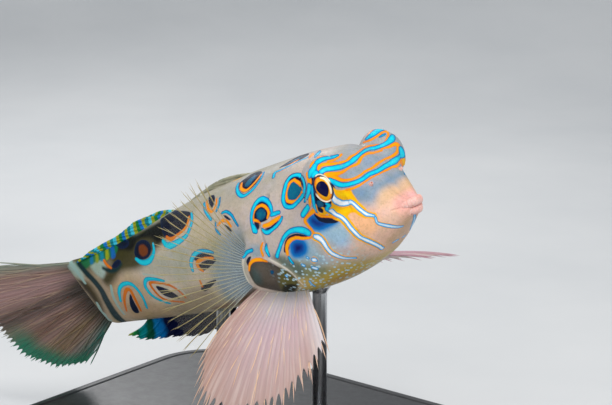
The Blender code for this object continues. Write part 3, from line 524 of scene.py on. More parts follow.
FLANK_TEAL = {
    "gill ring": [(256, 217), (256.5, 211.5), (261, 208), (265.5, 210.5), (266, 216), (262, 220.5),
        (258, 220)],
    "back ring": [(244.5, 186), (247, 181), (253, 176), (257, 175), (252, 182.5), (248, 187)],
    "lobe dot": [(270, 270.6), (273.4, 270.4), (274, 273.4), (271.4, 274.6)],
    "under eye": [(316.6, 201), (320, 200), (324, 203), (323.6, 206.6), (319, 207.6),
        (316.6, 205)],
    "nape": [(285, 164.5), (294, 159.6), (303, 155.8), (297, 160)],
}
# Rings with a full outline: the outer edge of the cyan ring and of the orange ring
FULL_RINGS = {
    "cheek ring": ([(282.3, 191), (285.6, 180.5), (292, 174), (300, 173.3), (304.5, 179),
        (306.3, 187), (304.5, 196), (299, 203), (292, 208.5), (284.5, 207.5),
        (281.6, 200)], [(294, 178.3), (300.5, 182.5), (304, 190), (301.2, 197.6), (295.4, 202.8),
        (287.2, 202.4), (284.7, 196.4), (285.4, 188.6), (289, 181.7)]),
}
RING_WIDTHS = (3.8, 3.0)
FLANK_RUST = {
    "small spot": [(139, 246), (143, 244), (147.5, 248), (147.5, 254), (143, 257), (139, 253)],
}
SOFT_BLUE = {
    "cheek spot": [(308, 218), (313, 214.5), (321, 218), (331, 218.5), (339, 219.8), (335, 224),
        (328, 227.5), (320, 230.5), (313, 228.5), (308.5, 223)],
    "low cheek spot": [(290, 246), (292.5, 240.5), (298, 239), (304, 241), (307, 247),
        (305.5, 253.5), (299, 257), (292.5, 255.5)],
}
YELLOW = {
    "snout wedge": [(332, 186.6), (336.5, 189.6), (341, 190.2), (346, 189.4), (350.5, 190.2),
        (353, 194), (357, 200), (362.5, 205.6), (366, 209.4), (360.5, 207.4), (355, 203.2),
        (350, 200), (343, 200), (338, 197.6), (334.5, 193.5)],
    "below eye": [(332, 202), (336.5, 205.4), (342, 207.4), (348.5, 206.6), (353.5, 207.6),
        (358.5, 212.4), (363.5, 216.4), (366, 218.4), (360, 216), (354.5, 212.4), (349.5, 213.6),
        (346, 218), (340.5, 214.6), (335.5, 211.6), (332, 207)],
    "throat ring": [(310.5, 260), (314, 256.6), (318, 259.6), (314.4, 263.4)],
}
YELLOW_LINES = {
    "under orbit": [(315.4, 204.6, 2), (316.6, 209.8, 2.6), (320, 213.4, 3), (324.4, 213.8, 3.2),
        (325, 210, 2.6), (322, 207.4, 1.8)],
    "back fleck": [(232, 176.6, 1.8), (236.5, 176.6, 2.2), (240, 175.4, 1.6)],
}
# Soft patches of the skin's colour, a few of them painted shade: colour from 0 to 255, softness in
# millimetres, share and outline in pixels; later patches lie over earlier ones
LOBE = [(250, 262), (256, 260), (266, 261), (276, 265), (286, 270.5), (294, 277), (298, 284),
    (293, 290.5), (282, 291.5), (270, 289.5), (258, 286), (252, 279), (248.5, 270)]
PATCHES = {
    "cheek pink": ((238, 192, 168), 1.6, 0.95, [(352, 196), (372, 190), (392, 184), (408, 182),
        (419, 196), (414, 214), (408, 232), (396, 246), (380, 254), (360, 252), (345, 243),
        (335, 226), (345, 214)]),
    "face peach": ((248, 184, 134), 0.8, 0.8, [(352, 200), (368, 206), (378, 218), (374, 232),
        (360, 236), (350, 224), (347, 210)]),
    "snout front": ((240, 186, 166), 0.8, 0.9, [(394, 190), (404, 184), (413, 190), (418, 200),
        (414, 212), (404, 214), (392, 206)]),
    "snout blue": ((130, 152, 170), 0.8, 0.95, [(392, 166), (403, 160), (407, 172), (411, 186),
        (406, 190), (394, 186), (382, 192), (378, 202), (368, 207), (358, 202), (346, 193),
        (352, 186), (368, 182), (382, 176)]),
    "snout peach": ((226, 184, 136), 0.6, 0.7, [(380, 192), (394, 185), (408, 189), (400, 197),
        (388, 203), (380, 208), (376, 202)]),
    "mouth pink": ((234, 172, 162), 0.5, 0.85, [(395, 199), (404, 192), (413, 191), (419, 200),
        (416, 211), (406, 214), (397, 211)]),
    "head top": ((142, 158, 174), 0.5, 0.9, [(342, 176), (352, 170), (360, 166), (363, 158),
        (370, 154.5), (380, 152.5), (389, 150), (390, 155), (382, 158.5), (374, 164), (366, 169),
        (358, 174), (348, 178)]),
    "far orbit teal": ((108, 148, 154), 0.35, 0.9, [(366, 142.6), (374, 140), (380, 136.6),
        (385, 135), (384.6, 140), (379, 143.4), (370, 144.6)]),
    "snout shade": ((112, 142, 168), 0.5, 0.7, [(348, 193), (358, 189), (368, 191), (364, 201),
        (356, 202)]),
    "chin": ((204, 166, 132), 1.0, 0.9, [(409, 216), (413, 222), (409, 234), (400, 244),
        (390, 252), (386, 242), (398, 229)]),
    "blue spot haze": ((146, 184, 208), 0.8, 0.9, [(314, 230), (330, 226), (342, 222), (352, 232),
        (350, 243), (340, 248), (328, 242), (318, 236)]),
    "low cheek haze": ((142, 174, 192), 0.8, 0.85, [(304, 238), (313, 242), (322, 254), (330, 264),
        (314, 266), (300, 262), (292, 258)]),
    "throat": ((188, 160, 66), 1.2, 0.9, [(300, 268), (320, 270), (345, 263), (370, 259),
        (388, 251), (400, 246), (386, 262), (362, 277), (336, 289), (316, 293), (304, 288),
        (298, 278)]),
    "throat grey": ((110, 126, 98), 0.7, 0.8, [(276, 258), (290, 262), (310, 264), (328, 268),
        (322, 276), (304, 278), (290, 272)]),
    "throat edge": ((176, 132, 80), 0.6, 0.6, [(330, 280), (352, 272), (372, 266), (390, 254),
        (392, 262), (370, 276), (345, 287), (330, 292)]),
    "gill blue": ((134, 160, 174), 0.4, 0.7, [(250, 247), (260, 245), (262, 256), (254, 258)]),
    "fin base": ((140, 160, 174), 1.2, 0.9, [(212, 252), (226, 234), (240, 230), (245, 250),
        (242, 270), (250, 287), (244, 298), (228, 300), (215, 280)]),
    "behind lobe": ((120, 78, 48), 0.6, 0.9, [(212, 308), (232, 301), (248, 293), (257, 290),
        (252, 299), (236, 305), (220, 310)]),
    "stem cream": ((186, 156, 122), 1.0, 0.75, [(108, 284), (125, 276), (146, 280), (150, 300),
        (176, 308), (170, 318), (140, 319), (122, 318), (110, 300)]),
    "low flank": ((140, 118, 88), 1.0, 0.7, [(176, 294), (200, 288), (216, 296), (206, 311),
        (190, 315), (172, 310)]),
    "flank olive": ((170, 160, 110), 1.2, 0.5, [(194, 238), (222, 238), (216, 264), (194, 252)]),
    "flank grey": ((160, 162, 146), 1.0, 0.7, [(140, 264), (160, 252), (190, 244), (192, 262),
        (186, 280), (160, 275), (146, 273)]),
    "saddle olive": ((54, 50, 16), 0.6, 0.95, [(108, 244), (120, 236), (150, 226), (166, 220),
        (166, 240), (156, 250), (140, 268), (122, 272), (110, 286), (102, 278), (112, 262)]),
    "saddle dark": ((10, 12, 6), 0.35, 1.0, [(112, 240), (122, 236), (136, 236), (150, 228),
        (162, 222), (163, 236), (158, 243), (150, 238), (138, 240), (132, 250), (122, 250),
        (114, 250)]),
    "stem pale": ((160, 178, 164), 0.3, 0.9, [(88, 262), (95, 257), (103, 259), (106, 268),
        (103, 278), (95, 273)]),
    # the tail root's own darker brown, deepened by painted shade where the stem curves away from
    # the light
    "tail blotch and shade": ((34, 24, 8), 0.5, 0.95, [(76, 280), (86, 282), (94, 291), (100, 302),
        (104, 312), (99, 316), (90, 304), (80, 292)]),
    "fin green": ((16, 104, 60), 0.2, 0.95, [(72, 270), (80, 258), (92, 250), (106, 244),
        (117, 242), (117, 252), (110, 258), (96, 262), (84, 270)]),
    "fin stripe 1": ((10, 92, 176), 0.1, 0.9, [(109.4, 243), (113, 242), (114.6, 250),
        (115.4, 257), (111.6, 258.6), (110.6, 251)]),
    "fin stripe 2": ((150, 156, 20), 0.1, 0.9, [(104.4, 245), (107, 244), (108.4, 251), (109, 258),
        (106, 260), (105.4, 252)]),
    "fin stripe 3": ((14, 124, 150), 0.1, 0.9, [(99, 247), (102.4, 246), (103.4, 253), (104, 260),
        (100.6, 261), (100, 254)]),
    "fin stripe 4": ((140, 150, 24), 0.1, 0.85, [(94.6, 250), (97, 249), (98, 255), (98.6, 262),
        (96, 262.6), (95.4, 256)]),
    "fin stripe 5": ((14, 110, 160), 0.1, 0.85, [(89, 253), (92, 251.4), (93, 257), (93.4, 263.4),
        (90.4, 264), (89.8, 258)]),
    "tail pale": ((158, 176, 168), 0.4, 0.85, [(62, 259), (72, 261), (82, 270), (84, 279),
        (76, 277), (67, 268)]),
    "tail olive": ((72, 60, 16), 0.4, 0.4, [(84, 282), (92, 284), (102, 300), (100, 306),
        (90, 292)]),
    "over lobe": ((84, 100, 94), 0.4, 0.75, [(272, 257), (284, 256), (302, 266), (302, 277),
        (290, 269), (280, 263)]),
    "lobe": ((70, 64, 56), 0.1, 1.0, LOBE),
    "lobe middle": ((92, 84, 74), 0.6, 0.7, [(256, 264), (268, 263), (280, 270), (285, 279),
        (270, 284), (256, 276)]),
    "lobe teal": ((58, 84, 84), 0.4, 0.6, [(252, 268), (260, 274), (262, 284), (254, 281)]),
    "lobe olive": ((96, 92, 40), 0.45, 0.85, [(282, 268), (292, 275), (298, 284), (293, 291),
        (283, 290), (279, 280)]),
    # painted shadow under the lobe's lower edge
    "shadow under the lobe": ((14, 18, 8), 0.25, 0.95, [(283, 286), (292, 284), (298, 287), (292, 294),
        (284, 293)]),
}
# Folds of the skin: (x, y, width) in pixels with a height in millimetres
FOLDS = {
    "lobe edge": (0.16, [(243.5, 257, 3), (242.6, 266, 3.4), (245, 275, 3.4), (249, 281, 3),
        (254, 286, 2.4)]),
    "lobe crease": (0.11, [(264, 259, 1.8), (272, 262, 2), (280, 267, 2), (288, 270, 2),
        (296, 276, 2), (303, 284, 2)]),
    "gill edge": (-0.2, [(258, 223, 2), (261, 232, 2), (264, 242, 2), (267.5, 251, 1.6)]),
    "mouth crease": (-0.09, [(392, 210.6, 1.4), (399, 208.6, 1.8), (407, 207, 2),
        (414, 206.5, 2)]),
    "upper mouth crease": (-0.06, [(403, 196, 1.4), (409, 198.5, 1.8), (413, 201, 2)]),
    "jaw crease": (-0.05, [(396, 200, 1.6), (399, 205, 1.6), (400, 211, 1.4)]),
    "chin crease": (-0.08, [(409, 232, 1.4), (412, 224, 1.8), (414, 217, 1.8)]),
    "long line": (0.05, [(336, 214.5, 3.4), (346, 221.5, 3.4), (355, 232.5, 3.4), (366, 240, 3.4),
        (382, 248, 3.4)]),
    "low line": (0.05, [(318, 238, 4), (326, 246, 4), (334, 254.6, 3.8), (347, 258, 2.6)]),
}
PIXELS_PER_MM = 8.7      # at the head, for the widths of strokes

# How far from a stroke's edge its field is worked out, and how deep a fill reaches, in millimetres
FIELD_REACH = 0.9
FILL_DEPTH, PATCH_DEPTH = 2.2, 4.5
LINE_STEPS = 4           # pieces of a line between each two of its points
# A line's step longer than this leaps from one form to another behind it and isn't drawn, in mm
LINE_LEAP = 1.5
# The head's top on the straight fish, where the left side has marks of its own in the photo, and
# how far in front of a place another form must lie to hide it, in mm
TOP_REGION, VIEW_GAP = (12.0, 3.0), 0.5
# The left side's marks sway this far, more away from the midline and from the orbit, all in mm
LEFT_SWAY, SWAY_FROM_MIDLINE, SWAY_FROM_ORBIT = 0.4, (0.5, 3), (3.2, 6.5)


def catmull(points, steps, closed=False):
    """A smooth line through points, with steps pieces between each two of them."""
    points = np.asarray(points, float)
    if closed:
        padded = np.concatenate([points[-1:], points, points[:2]])
    else:
        padded = np.concatenate([2 * points[:1] - points[1:2], points,
                                 2 * points[-1:] - points[-2:-1]])
    s = np.linspace(0, 1, steps, endpoint=False)[:, None]
    made = []
    for a, b, c, d in zip(padded, padded[1:], padded[2:], padded[3:]):
        made.append(0.5 * (2 * b + (c - a) * s + (2 * a - 5 * b + 4 * c - d) * s ** 2
                           + (3 * b - a - 3 * c + d) * s ** 3))
    if not closed:
        made.append(points[-1:])
    return np.concatenate(made)


class Canvas:
    """A surface that markings are painted on, known straight and bent."""

    def __init__(self, straight, faces):
        self.straight = np.asarray(straight, float)
        self.faces = np.asarray(faces)
        self.bent = SPINE.bend(self.straight)
        self.tree = BVHTree.FromPolygons(self.bent.tolist(), self.faces.tolist())
        self.pixels, self.depth = CAMERA.pixels(self.bent)
        y = self.straight[:, 1]
        orbit = np.linalg.norm(self.straight - np.array(ORBIT_PLACE) * [-1, 1, 1], axis=1)
        free = eased(y, *SWAY_FROM_MIDLINE) * eased(orbit, *SWAY_FROM_ORBIT)
        x, z = self.straight[:, 0], self.straight[:, 2]
        swayed = self.straight * [1, -1, 1]
        swayed[:, 0] += LEFT_SWAY * np.sin(0.55 * x + 0.4 * z + 1) * free
        swayed[:, 2] += LEFT_SWAY * np.sin(0.5 * x - 0.7 * z) * free
        self.both = np.where((y > 0)[:, None], swayed, self.straight)
        self.own_left = self.hidden = self.shown = np.zeros(len(self.straight), bool)
        self.seen_pixels = self.pixels

    def note_view(self, bent, normals):
        """Note what the photo's view shows of the head's front, and which parts of its top."""
        facing = ((CAMERA.place - bent) * normals).sum(1) > 0
        front = -self.straight[:, 0] < TOP_REGION[0]
        top = front & (self.straight[:, 2] > TOP_REGION[1])
        self.own_left = top & facing & (self.straight[:, 1] > 0)
        self.hidden = top & ~facing
        self.shown = front.copy()
        self.seen_pixels = CAMERA.pixels(bent)[0]
        tree = BVHTree.FromPolygons(bent.tolist(), self.faces.tolist())
        for k in np.nonzero(self.shown)[0]:
            ray = bent[k] - CAMERA.place
            far = np.linalg.norm(ray)
            hit = tree.ray_cast(Vector(CAMERA.place), Vector(ray / far), far - VIEW_GAP)[0]
            self.shown[k] = hit is None

    def under(self, pixel):
        """The straight place under a pixel, or of the nearest point in view beside it."""
        hit, _, face, _ = self.tree.ray_cast(Vector(CAMERA.place), Vector(CAMERA.ray(pixel)))
        if hit is None:
            off = np.hypot(*(self.pixels - pixel[:2]).T)
            near = off < off.min() + 1.0
            return self.straight[np.argmin(np.where(near, self.depth, np.inf))]
        a, b, d = (self.faces[face][k] for k in (0, 1, 3))
        edges = np.stack([self.bent[b] - self.bent[a], self.bent[d] - self.bent[a]], 1)
        share = np.linalg.lstsq(edges, np.array(hit) - self.bent[a], rcond=None)[0]
        return (self.straight[a] + share[0] * (self.straight[b] - self.straight[a])
                + share[1] * (self.straight[d] - self.straight[a]))

    def line(self, stroke, closed=False):
        """The stroke's middle line on the straight surface, and its half widths."""
        dense = catmull(stroke, LINE_STEPS, closed)
        places = np.array([self.under(p) for p in dense])
        return places, dense[:, 2] / 2 / PIXELS_PER_MM if dense.shape[1] > 2 else None

    def blank(self):
        return np.full(len(self.straight), FIELD_REACH)


def near_box(points, line, reach=FIELD_REACH):
    low, high = line.min(0) - reach, line.max(0) + reach
    return np.nonzero(((points > low) & (points < high)).all(1))[0]


def stroke_field(field, points, line, half):
    """Lower the field to the signed distance from a stroke's edge where that is nearer."""
    near = near_box(points, line)
    p = points[near]
    best = np.full(len(p), FIELD_REACH)
    for a, b, start, end in zip(line, line[1:], half, half[1:]):
        ab = b - a
        if ab @ ab > LINE_LEAP ** 2:
            continue
        s = np.clip((p - a) @ ab / max(ab @ ab, 1e-9), 0, 1)
        reach = np.linalg.norm(p - a - s[:, None] * ab, axis=1)
        best = np.minimum(best, reach - (start + (end - start) * s))
    field[near] = np.minimum(field[near], best)


def fill_field(field, points, loop, far=FIELD_REACH, deep=FILL_DEPTH):
    """Lower the field to the signed distance from a closed outline, seen along its normal."""
    near = near_box(points, loop, max(far, deep))
    centre = loop.mean(0)
    axes = np.linalg.svd(loop - centre)[2]
    flat = (loop - centre) @ axes.T
    q = (points[near] - centre) @ axes.T
    near, q = near[np.abs(q[:, 2]) < deep], q[np.abs(q[:, 2]) < deep]
    reach = np.full(len(q), far)
    inside = np.zeros(len(q), bool)
    for a, b in zip(flat, np.roll(flat, -1, 0)):
        ab = (b - a)[:2]
        s = np.clip((q[:, :2] - a[:2]) @ ab / max(ab @ ab, 1e-9), 0, 1)
        reach = np.minimum(reach, np.linalg.norm(q[:, :2] - a[:2] - s[:, None] * ab, axis=1))
        crosses = (a[1] > q[:, 1]) != (b[1] > q[:, 1])
        slope = ab[0] / ab[1] if abs(ab[1]) > 1e-9 else 0.0
        inside ^= crosses & (q[:, 0] < a[0] + (q[:, 1] - a[1]) * slope)
    field[near] = np.minimum(field[near], np.where(inside, -reach, reach))


def paint(canvas, strokes=(), fills=(), once=()):
    """A field in millimetres from the edges of marks: below zero inside them."""
    field = canvas.blank()
    for stroke in strokes:
        stroke_field(field, canvas.both, *canvas.line(stroke))
    for outline in fills:
        fill_field(field, canvas.both, canvas.line(outline, closed=True)[0])
    field[canvas.own_left] = FIELD_REACH
    solid, mirrored, flat = canvas.blank(), canvas.blank(), canvas.blank()
    for stroke in once:
        line, half = canvas.line(stroke)
        stroke_field(solid, canvas.straight, line, half)
        stroke_field(mirrored, canvas.straight * [1, -1, 1], line, half)
        drawn = catmull(stroke, LINE_STEPS) / PIXELS_PER_MM
        stroke_field(flat, canvas.seen_pixels / PIXELS_PER_MM, drawn[:, :2], drawn[:, 2] / 2)
    field = np.minimum(field, np.where(canvas.shown, flat, solid))
    return np.where(canvas.hidden, np.minimum(field, mirrored), field)


def linear(red, green, blue):
    """A colour given from 0 to 255 as the eye sees it, in the renderer's own scale."""
    shares = np.array([red, green, blue]) / 255
    return tuple(np.where(shares <= 0.04045, shares / 12.92, ((shares + 0.055) / 1.055) ** 2.4))


class Look:
    """A material put together node by node round one Principled shader."""

    def __init__(self, name, **sockets):
        self.material = bpy.data.materials.new(name)
        self.material.use_nodes = True
        self.nodes, self.links = self.material.node_tree.nodes, self.material.node_tree.links
        self.shader = self.nodes["Principled BSDF"]
        self.set(**sockets)
        self.where = self.nodes.new("ShaderNodeTexCoord").outputs["Object"]

    def set(self, **sockets):
        for name, value in sockets.items():
            socket = self.shader.inputs[name.replace("_", " ").title().replace("Ior", "IOR")]
            if isinstance(value, bpy.types.NodeSocket):
                self.links.new(value, socket)
            else:
                socket.default_value = (*value, 1) if socket.type == "RGBA" else value

    def add(self, kind, inputs=(), **settings):
        made = self.nodes.new("ShaderNode" + kind)
        for name, value in settings.items():
            setattr(made, name, value)
        for name, value in dict(inputs).items():
            if isinstance(value, bpy.types.NodeSocket):
                self.links.new(value, made.inputs[name])
            elif value is not None:
                made.inputs[name].default_value = value
        return made

    def field(self, name):
        return self.add("Attribute", attribute_name=name).outputs["Fac"]

    def colour_field(self, name):
        return self.add("Attribute", attribute_name=name).outputs["Color"]

    def maths(self, operation, a, b=None, c=None):
        return self.add("Math", {0: a, 1: b, 2: c}, operation=operation).outputs[0]

    def noise(self, scale, detail, roughness=0.5, stretch=None):
        where = self.where
        if stretch:
            where = self.add("Mapping", {"Vector": where, "Scale": stretch}).outputs[0]
        return self.add("TexNoise", {"Vector": where, "Scale": scale, "Detail": detail,
                                     "Roughness": roughness}).outputs["Fac"]

    def spread(self, value, start, end, low=0.0, high=1.0, smooth=False):
        """The value's range from start to end carried to low to high, and held there."""
        kind = "SMOOTHSTEP" if smooth else "LINEAR"
        return self.add("MapRange", {"Value": value, "From Min": start, "From Max": end,
                                     "To Min": low, "To Max": high},
                        interpolation_type=kind, clamp=True).outputs["Result"]

    def ramp(self, value, *stops):
        """Colours at values of a field, with smooth changes between them."""
        low, high = stops[0][0], stops[-1][0]
        made = self.add("ValToRGB", {"Fac": self.spread(value, low, high)})
        points = made.color_ramp.elements
        points.remove(points[1])
        for k, (place, colour) in enumerate(stops):
            point = points[0] if k == 0 else points.new((place - low) / (high - low))
            point.position = (place - low) / (high - low)
            point.color = (*colour, 1)
        return made.outputs["Color"]

    def mix(self, share, a, b, blend="MIX"):
        made = self.add("Mix", data_type="RGBA", blend_type=blend)
        for place, value in ((0, share), (6, a), (7, b)):
            if isinstance(value, bpy.types.NodeSocket):
                self.links.new(value, made.inputs[place])
            else:
                made.inputs[place].default_value = value if place == 0 else (*value, 1)
        return made.outputs[2]

    def blotched(self, scale, dark, light, low=0.35, high=0.7, detail=3, roughness=0.5):
        """Two colours in blotches of noise, given from 0 to 255."""
        share = self.spread(self.noise(scale, detail, roughness), low, high)
        return self.mix(share, linear(*dark), linear(*light))

    def bump(self, height, distance, strength):
        made = self.add("Bump", {"Height": height, "Distance": distance, "Strength": strength})
        self.links.new(made.outputs[0], self.shader.inputs["Normal"])


# Shape of the skin: its ends, the eyes' openings and small features, in millimetres
HEAD_FRONT, SKIN_END = 0.9, 49.5
RING_PLACES = (0, 0.07, 0.46, 0.6, 1), (HEAD_FRONT, 2.4, 11, 16, SKIN_END)
EASING_ROUNDS, EASING, EASED_FROM, EASED_TO = 30, 0.5, (2.8, 4.0), (11.0, 13.0)
STEM_SLANTED_FROM, STEM_THINNING, THINNED = 40, 0.62, (43.5, 49.4)
END_ROUND, END_LOWERED, END_LEAST = 0.4, 0.12, 0.0004
MOUTH_RINGS, MOUTH_WALL, MOUTH_SLIT, MOUTH_DEEP = 7, 0.66, (1.0, 0.10), 0.9
MOUTH_INNER = (0.5, 0.8, 0.95, 1)       # sizes of the mouth's innermost rings
MOUTH_POCKET = 3         # rings of the skin's grid that lie inside the mouth
EYE_OPENING = (0.87, 1.43)
EYE_RADII, EYE_FORWARD = (1.35, 1.95, 1.6), 1.08
LID_HEIGHT, LID_WIDTH, LID_REACH, EYE_SUNK = 0.09, 0.13, 1.7, 0.18
# Places round an eye in shares of its opening: its edge, the lid's crest and the lid's start
EYE_EDGE, LID_CREST, LID_START = (0.94, 1.02), 1.1, 1.05
GILL_PORE_PLACE, GILL_PORE_RADIUS, GILL_PORE_DEEP = (15.0, 38), 0.32, 0.3
PORE_RIM, PORE_RIM_PLACE, PORE_RIM_WIDTH = 0.05, 1.5, 0.12
FOLD_WIDTH = 1.1         # of a fold's own half width, where it has fallen to about a third
NOSTRIL_PLACE = (3.45, 44)


def eye_places(points, side):
    """Points of the straight fish in an eye's frame: across, tall and along the gaze."""
    centre, axes = eye_frame(side)
    return (points - centre) @ axes.T, axes


def eye_surface(across, tall):
    """How far the eyeball stands out along the gaze, over its own plane."""
    a, t = across / EYE_RADII[0], tall / EYE_RADII[1]
    return EYE_FORWARD + EYE_RADII[2] * np.sqrt(np.clip(1 - a ** 2 - t ** 2, 0, 1))


def even_angles(d):
    """Angles round each ring that space its points evenly along its outline."""
    fine = np.linspace(0, 2 * math.pi, ANGLE_STEPS + 1)
    y, z = section(d[:, :1], fine[None, :])
    steps = np.hypot(np.diff(y, axis=1), np.diff(z, axis=1))
    along = np.concatenate([np.zeros((len(d), 1)), np.cumsum(steps, 1)], 1)
    share = np.linspace(0, 1, AROUND, endpoint=False)
    return np.array([np.interp(share, row / row[-1], fine) for row in along])


def skin_grid():
    """The straight skin as a grid of rings, from the mouth to the rounded end of the stem."""
    d = np.interp(np.linspace(0, 1, RINGS), *RING_PLACES)
    d = np.broadcast_to(d[:, None], (RINGS, AROUND))
    angle = even_angles(d)
    lean = STEM_SLANT * eased(d, STEM_SLANTED_FROM, BODY_LENGTH)
    leaned = d + lean * section(d, angle)[1]
    y, z = section(leaned, angle)
    past = np.clip((d - BODY_LENGTH + END_ROUND) / (SKIN_END - BODY_LENGTH + END_ROUND), 0, 1)
    middle = (BACK(d) + BELLY(d)) / 2
    y = y * np.sqrt(np.clip(1 - past ** 2, END_LEAST, 1))
    y = y * (1 - STEM_THINNING * eased(d, *THINNED))
    z = middle + (z - middle) * (1 - END_LOWERED * past ** 2)
    grid = np.stack([-leaned, y, z], -1)
    share = (eased(d, *EASED_FROM) * (1 - eased(d, *EASED_TO)))[1:-1, :, None]
    for _ in range(EASING_ROUNDS):
        beside = (np.roll(grid, 1, 1) + np.roll(grid, -1, 1))[1:-1]
        around = (grid[:-2] + grid[2:] + beside) / 4
        grid[1:-1] += (around - grid[1:-1]) * EASING * share
    front = grid[0]
    slit = np.stack([np.full(AROUND, -MOUTH_WALL), MOUTH_SLIT[0] * np.cos(angle[0]),
                     MOUTH_SLIT[1] * np.sin(angle[0])], -1)
    inner = [slit * [1, k, k] - [MOUTH_DEEP * (1 - k), 0, 0] for k in MOUTH_INNER]
    for share in np.linspace(0, 1, MOUTH_RINGS, endpoint=False)[1:]:
        inner.append(slit + (front - slit) * eased(share, 0, 1))
    return np.concatenate([np.array(inner), grid])


def grid_normals(grid):
    along = np.gradient(grid, axis=0)
    around = (np.roll(grid, -1, 1) - np.roll(grid, 1, 1)) / 2
    normal = np.cross(along, around)
    normal /= np.maximum(np.linalg.norm(normal, axis=2, keepdims=True), 1e-9)
    return normal.reshape(-1, 3)


def shape_skin(canvas, normals):
    """The straight skin with its folds and pores, risen to the eyeballs' edges round them."""
    points = canvas.straight.copy()
    height = np.zeros(len(points))
    for tall, stroke in FOLDS.values():
        line, half = canvas.line(stroke)
        off = canvas.blank()
        stroke_field(off, canvas.both, line, half * 0)
        height += tall * np.exp(-(off / (half.mean() * FOLD_WIDTH)) ** 2)
    for side in (1, -1):
        angle = math.radians(GILL_PORE_PLACE[1] if side > 0 else 180 - GILL_PORE_PLACE[1])
        y, z = section(np.array(GILL_PORE_PLACE[0]), np.array(angle))
        off = np.linalg.norm(canvas.straight - [-GILL_PORE_PLACE[0], y, z], axis=1)
        beyond = off - GILL_PORE_RADIUS * PORE_RIM_PLACE
        height += PORE_RIM * np.exp(-(beyond / PORE_RIM_WIDTH) ** 2)
        height -= GILL_PORE_DEEP * np.exp(-(off / GILL_PORE_RADIUS) ** 2)
    points += normals * height[:, None]
    for side in (1, -1):
        q, axes = eye_places(points, side)
        off = np.maximum(np.hypot(q[:, 0] / EYE_OPENING[0], q[:, 1] / EYE_OPENING[1]), 1e-6)
        facing = q[:, 2] > 0
        edge = eye_surface(q[:, 0] / off, q[:, 1] / off)
        rise = (edge - q[:, 2]) * (1 - eased(off, LID_START, LID_REACH))
        rise += LID_HEIGHT * np.exp(-((off - LID_CREST) / LID_WIDTH) ** 2)
        sunk = eye_surface(q[:, 0], q[:, 1]) - EYE_SUNK - q[:, 2]
        inside = 1 - eased(off, *EYE_EDGE)
        points += axes[2] * ((sunk * inside + rise * (1 - inside)) * facing)[:, None]
    return points


def ground_colour(canvas):
    """The skin's colour before its markings, from soft patches named by place, some of them
    painted shade.
    """
    x, y, z = canvas.straight.T
    d, side = -x, np.abs(y)
    up = (z - BELLY(d)) / (BACK(d) - BELLY(d))
    colour = np.empty((len(x), 3))
    colour[:] = linear(202, 184, 162)

    def wash(shade, share):
        colour[:] = colour * (1 - share[:, None]) + np.array(linear(*shade)) * share[:, None]
    washes = {
        "head": ((192, 177, 168), (1 - eased(d, 14, 26)) * 0.9),
        "back": ((146, 148, 134), eased(up, 0.78, 1.0) * 0.6 * eased(d, 10, 16)),
        "stem": ((122, 98, 62), eased(d, 36, 46) * 0.6),
        "top of the stem": ((60, 56, 24), eased(d, 33, 42) * eased(up, 0.72, 0.95) * 0.8),
        "belly": ((180, 162, 132), (1 - eased(up, 0.05, 0.3)) * eased(d, 20, 26) * 0.5),
        "head's top": ((158, 162, 166), (1 - eased(d, 6, 10)) * eased(up, 0.5, 0.75) * 0.9),
        "throat": ((150, 136, 92), eased(d, 5, 9) * (1 - eased(d, 16, 20))
                   * (1 - eased(up, 0.04, 0.2)) * 0.8),
        "behind the pelvic fins": ((110, 96, 80), eased(d, 19, 21) * (1 - eased(d, 24, 28))
                                   * (1 - eased(up, 0.1, 0.3)) * 0.6 * eased(side, 0.5, 2)),
    }
    for shade, share in washes.values():
        wash(shade, share)
    for shade, soft, share, outline in PATCHES.values():
        field = np.full(len(x), soft)
        fill_field(field, canvas.both, canvas.line(outline, closed=True)[0], soft, PATCH_DEPTH)
        wash(shade, (1 - eased(field, -soft, soft)) * share)
    return np.clip(colour, 0, 1)


def amber_strokes():
    """Strokes under the white-centred lines whose edges show as amber borders."""
    made = []
    for name, (start, end) in AMBER_BORDERS.items():
        line = FLANK_PALE[name]
        share = np.linspace(0, 1, len(line))
        made.append([(x, y, width + 2 * (start + (end - start) * k))
                     for (x, y, width), k in zip(line, share)])
    return made


def stored_fields(canvas):
    """Every field that the skin's material reads."""
    cyan, orange = list(FLANK_CYAN.values()), list(FLANK_ORANGE.values())
    navy, teal = list(FLANK_NAVY.values()), list(FLANK_TEAL.values())
    for outer, inner in FULL_RINGS.values():
        for loop, width, kind in zip((outer, inner), RING_WIDTHS, (cyan, orange)):
            middle = np.mean(loop, 0)
            kind.append([(*(middle + (p - middle) * (1 - width / 2 / math.dist(p, middle))), width)
                         for p in np.array(loop + loop[:1])])
        navy.append(outer)
        teal.append(inner)
    fields = {
        "cyan": paint(canvas, cyan, once=TOP_CYAN.values()),
        "orange": paint(canvas, orange, once=TOP_ORANGE.values()),
        "pale": paint(canvas, FLANK_PALE.values(), once=FAR_PALE.values()),
        "cream": paint(canvas, FLANK_CREAM.values()),
        "dark": paint(canvas, FLANK_DARK.values()),
        "navy": paint(canvas, fills=navy),
        "teal": paint(canvas, fills=teal),
        "rust": paint(canvas, fills=FLANK_RUST.values()),
        "blue": paint(canvas, fills=SOFT_BLUE.values()),
        "yellow": paint(canvas, list(YELLOW_LINES.values()) + amber_strokes(), YELLOW.values(),
                        FAR_YELLOW.values()),
    }
    d = -canvas.straight[:, 0]
    up = (canvas.straight[:, 2] - BELLY(d)) / (BACK(d) - BELLY(d))
    throat = eased(d, 4.5, 8) * (1 - eased(d, 14, 16.5)) * (1 - eased(up, 0.24, 0.38))
    fields["throat"] = throat
    fields["aft"] = eased(d, 18, 46)
    fields["inside"] = (np.arange(len(d)) < MOUTH_POCKET * AROUND).astype(float)
    fields["ground"] = ground_colour(canvas)
    return fields


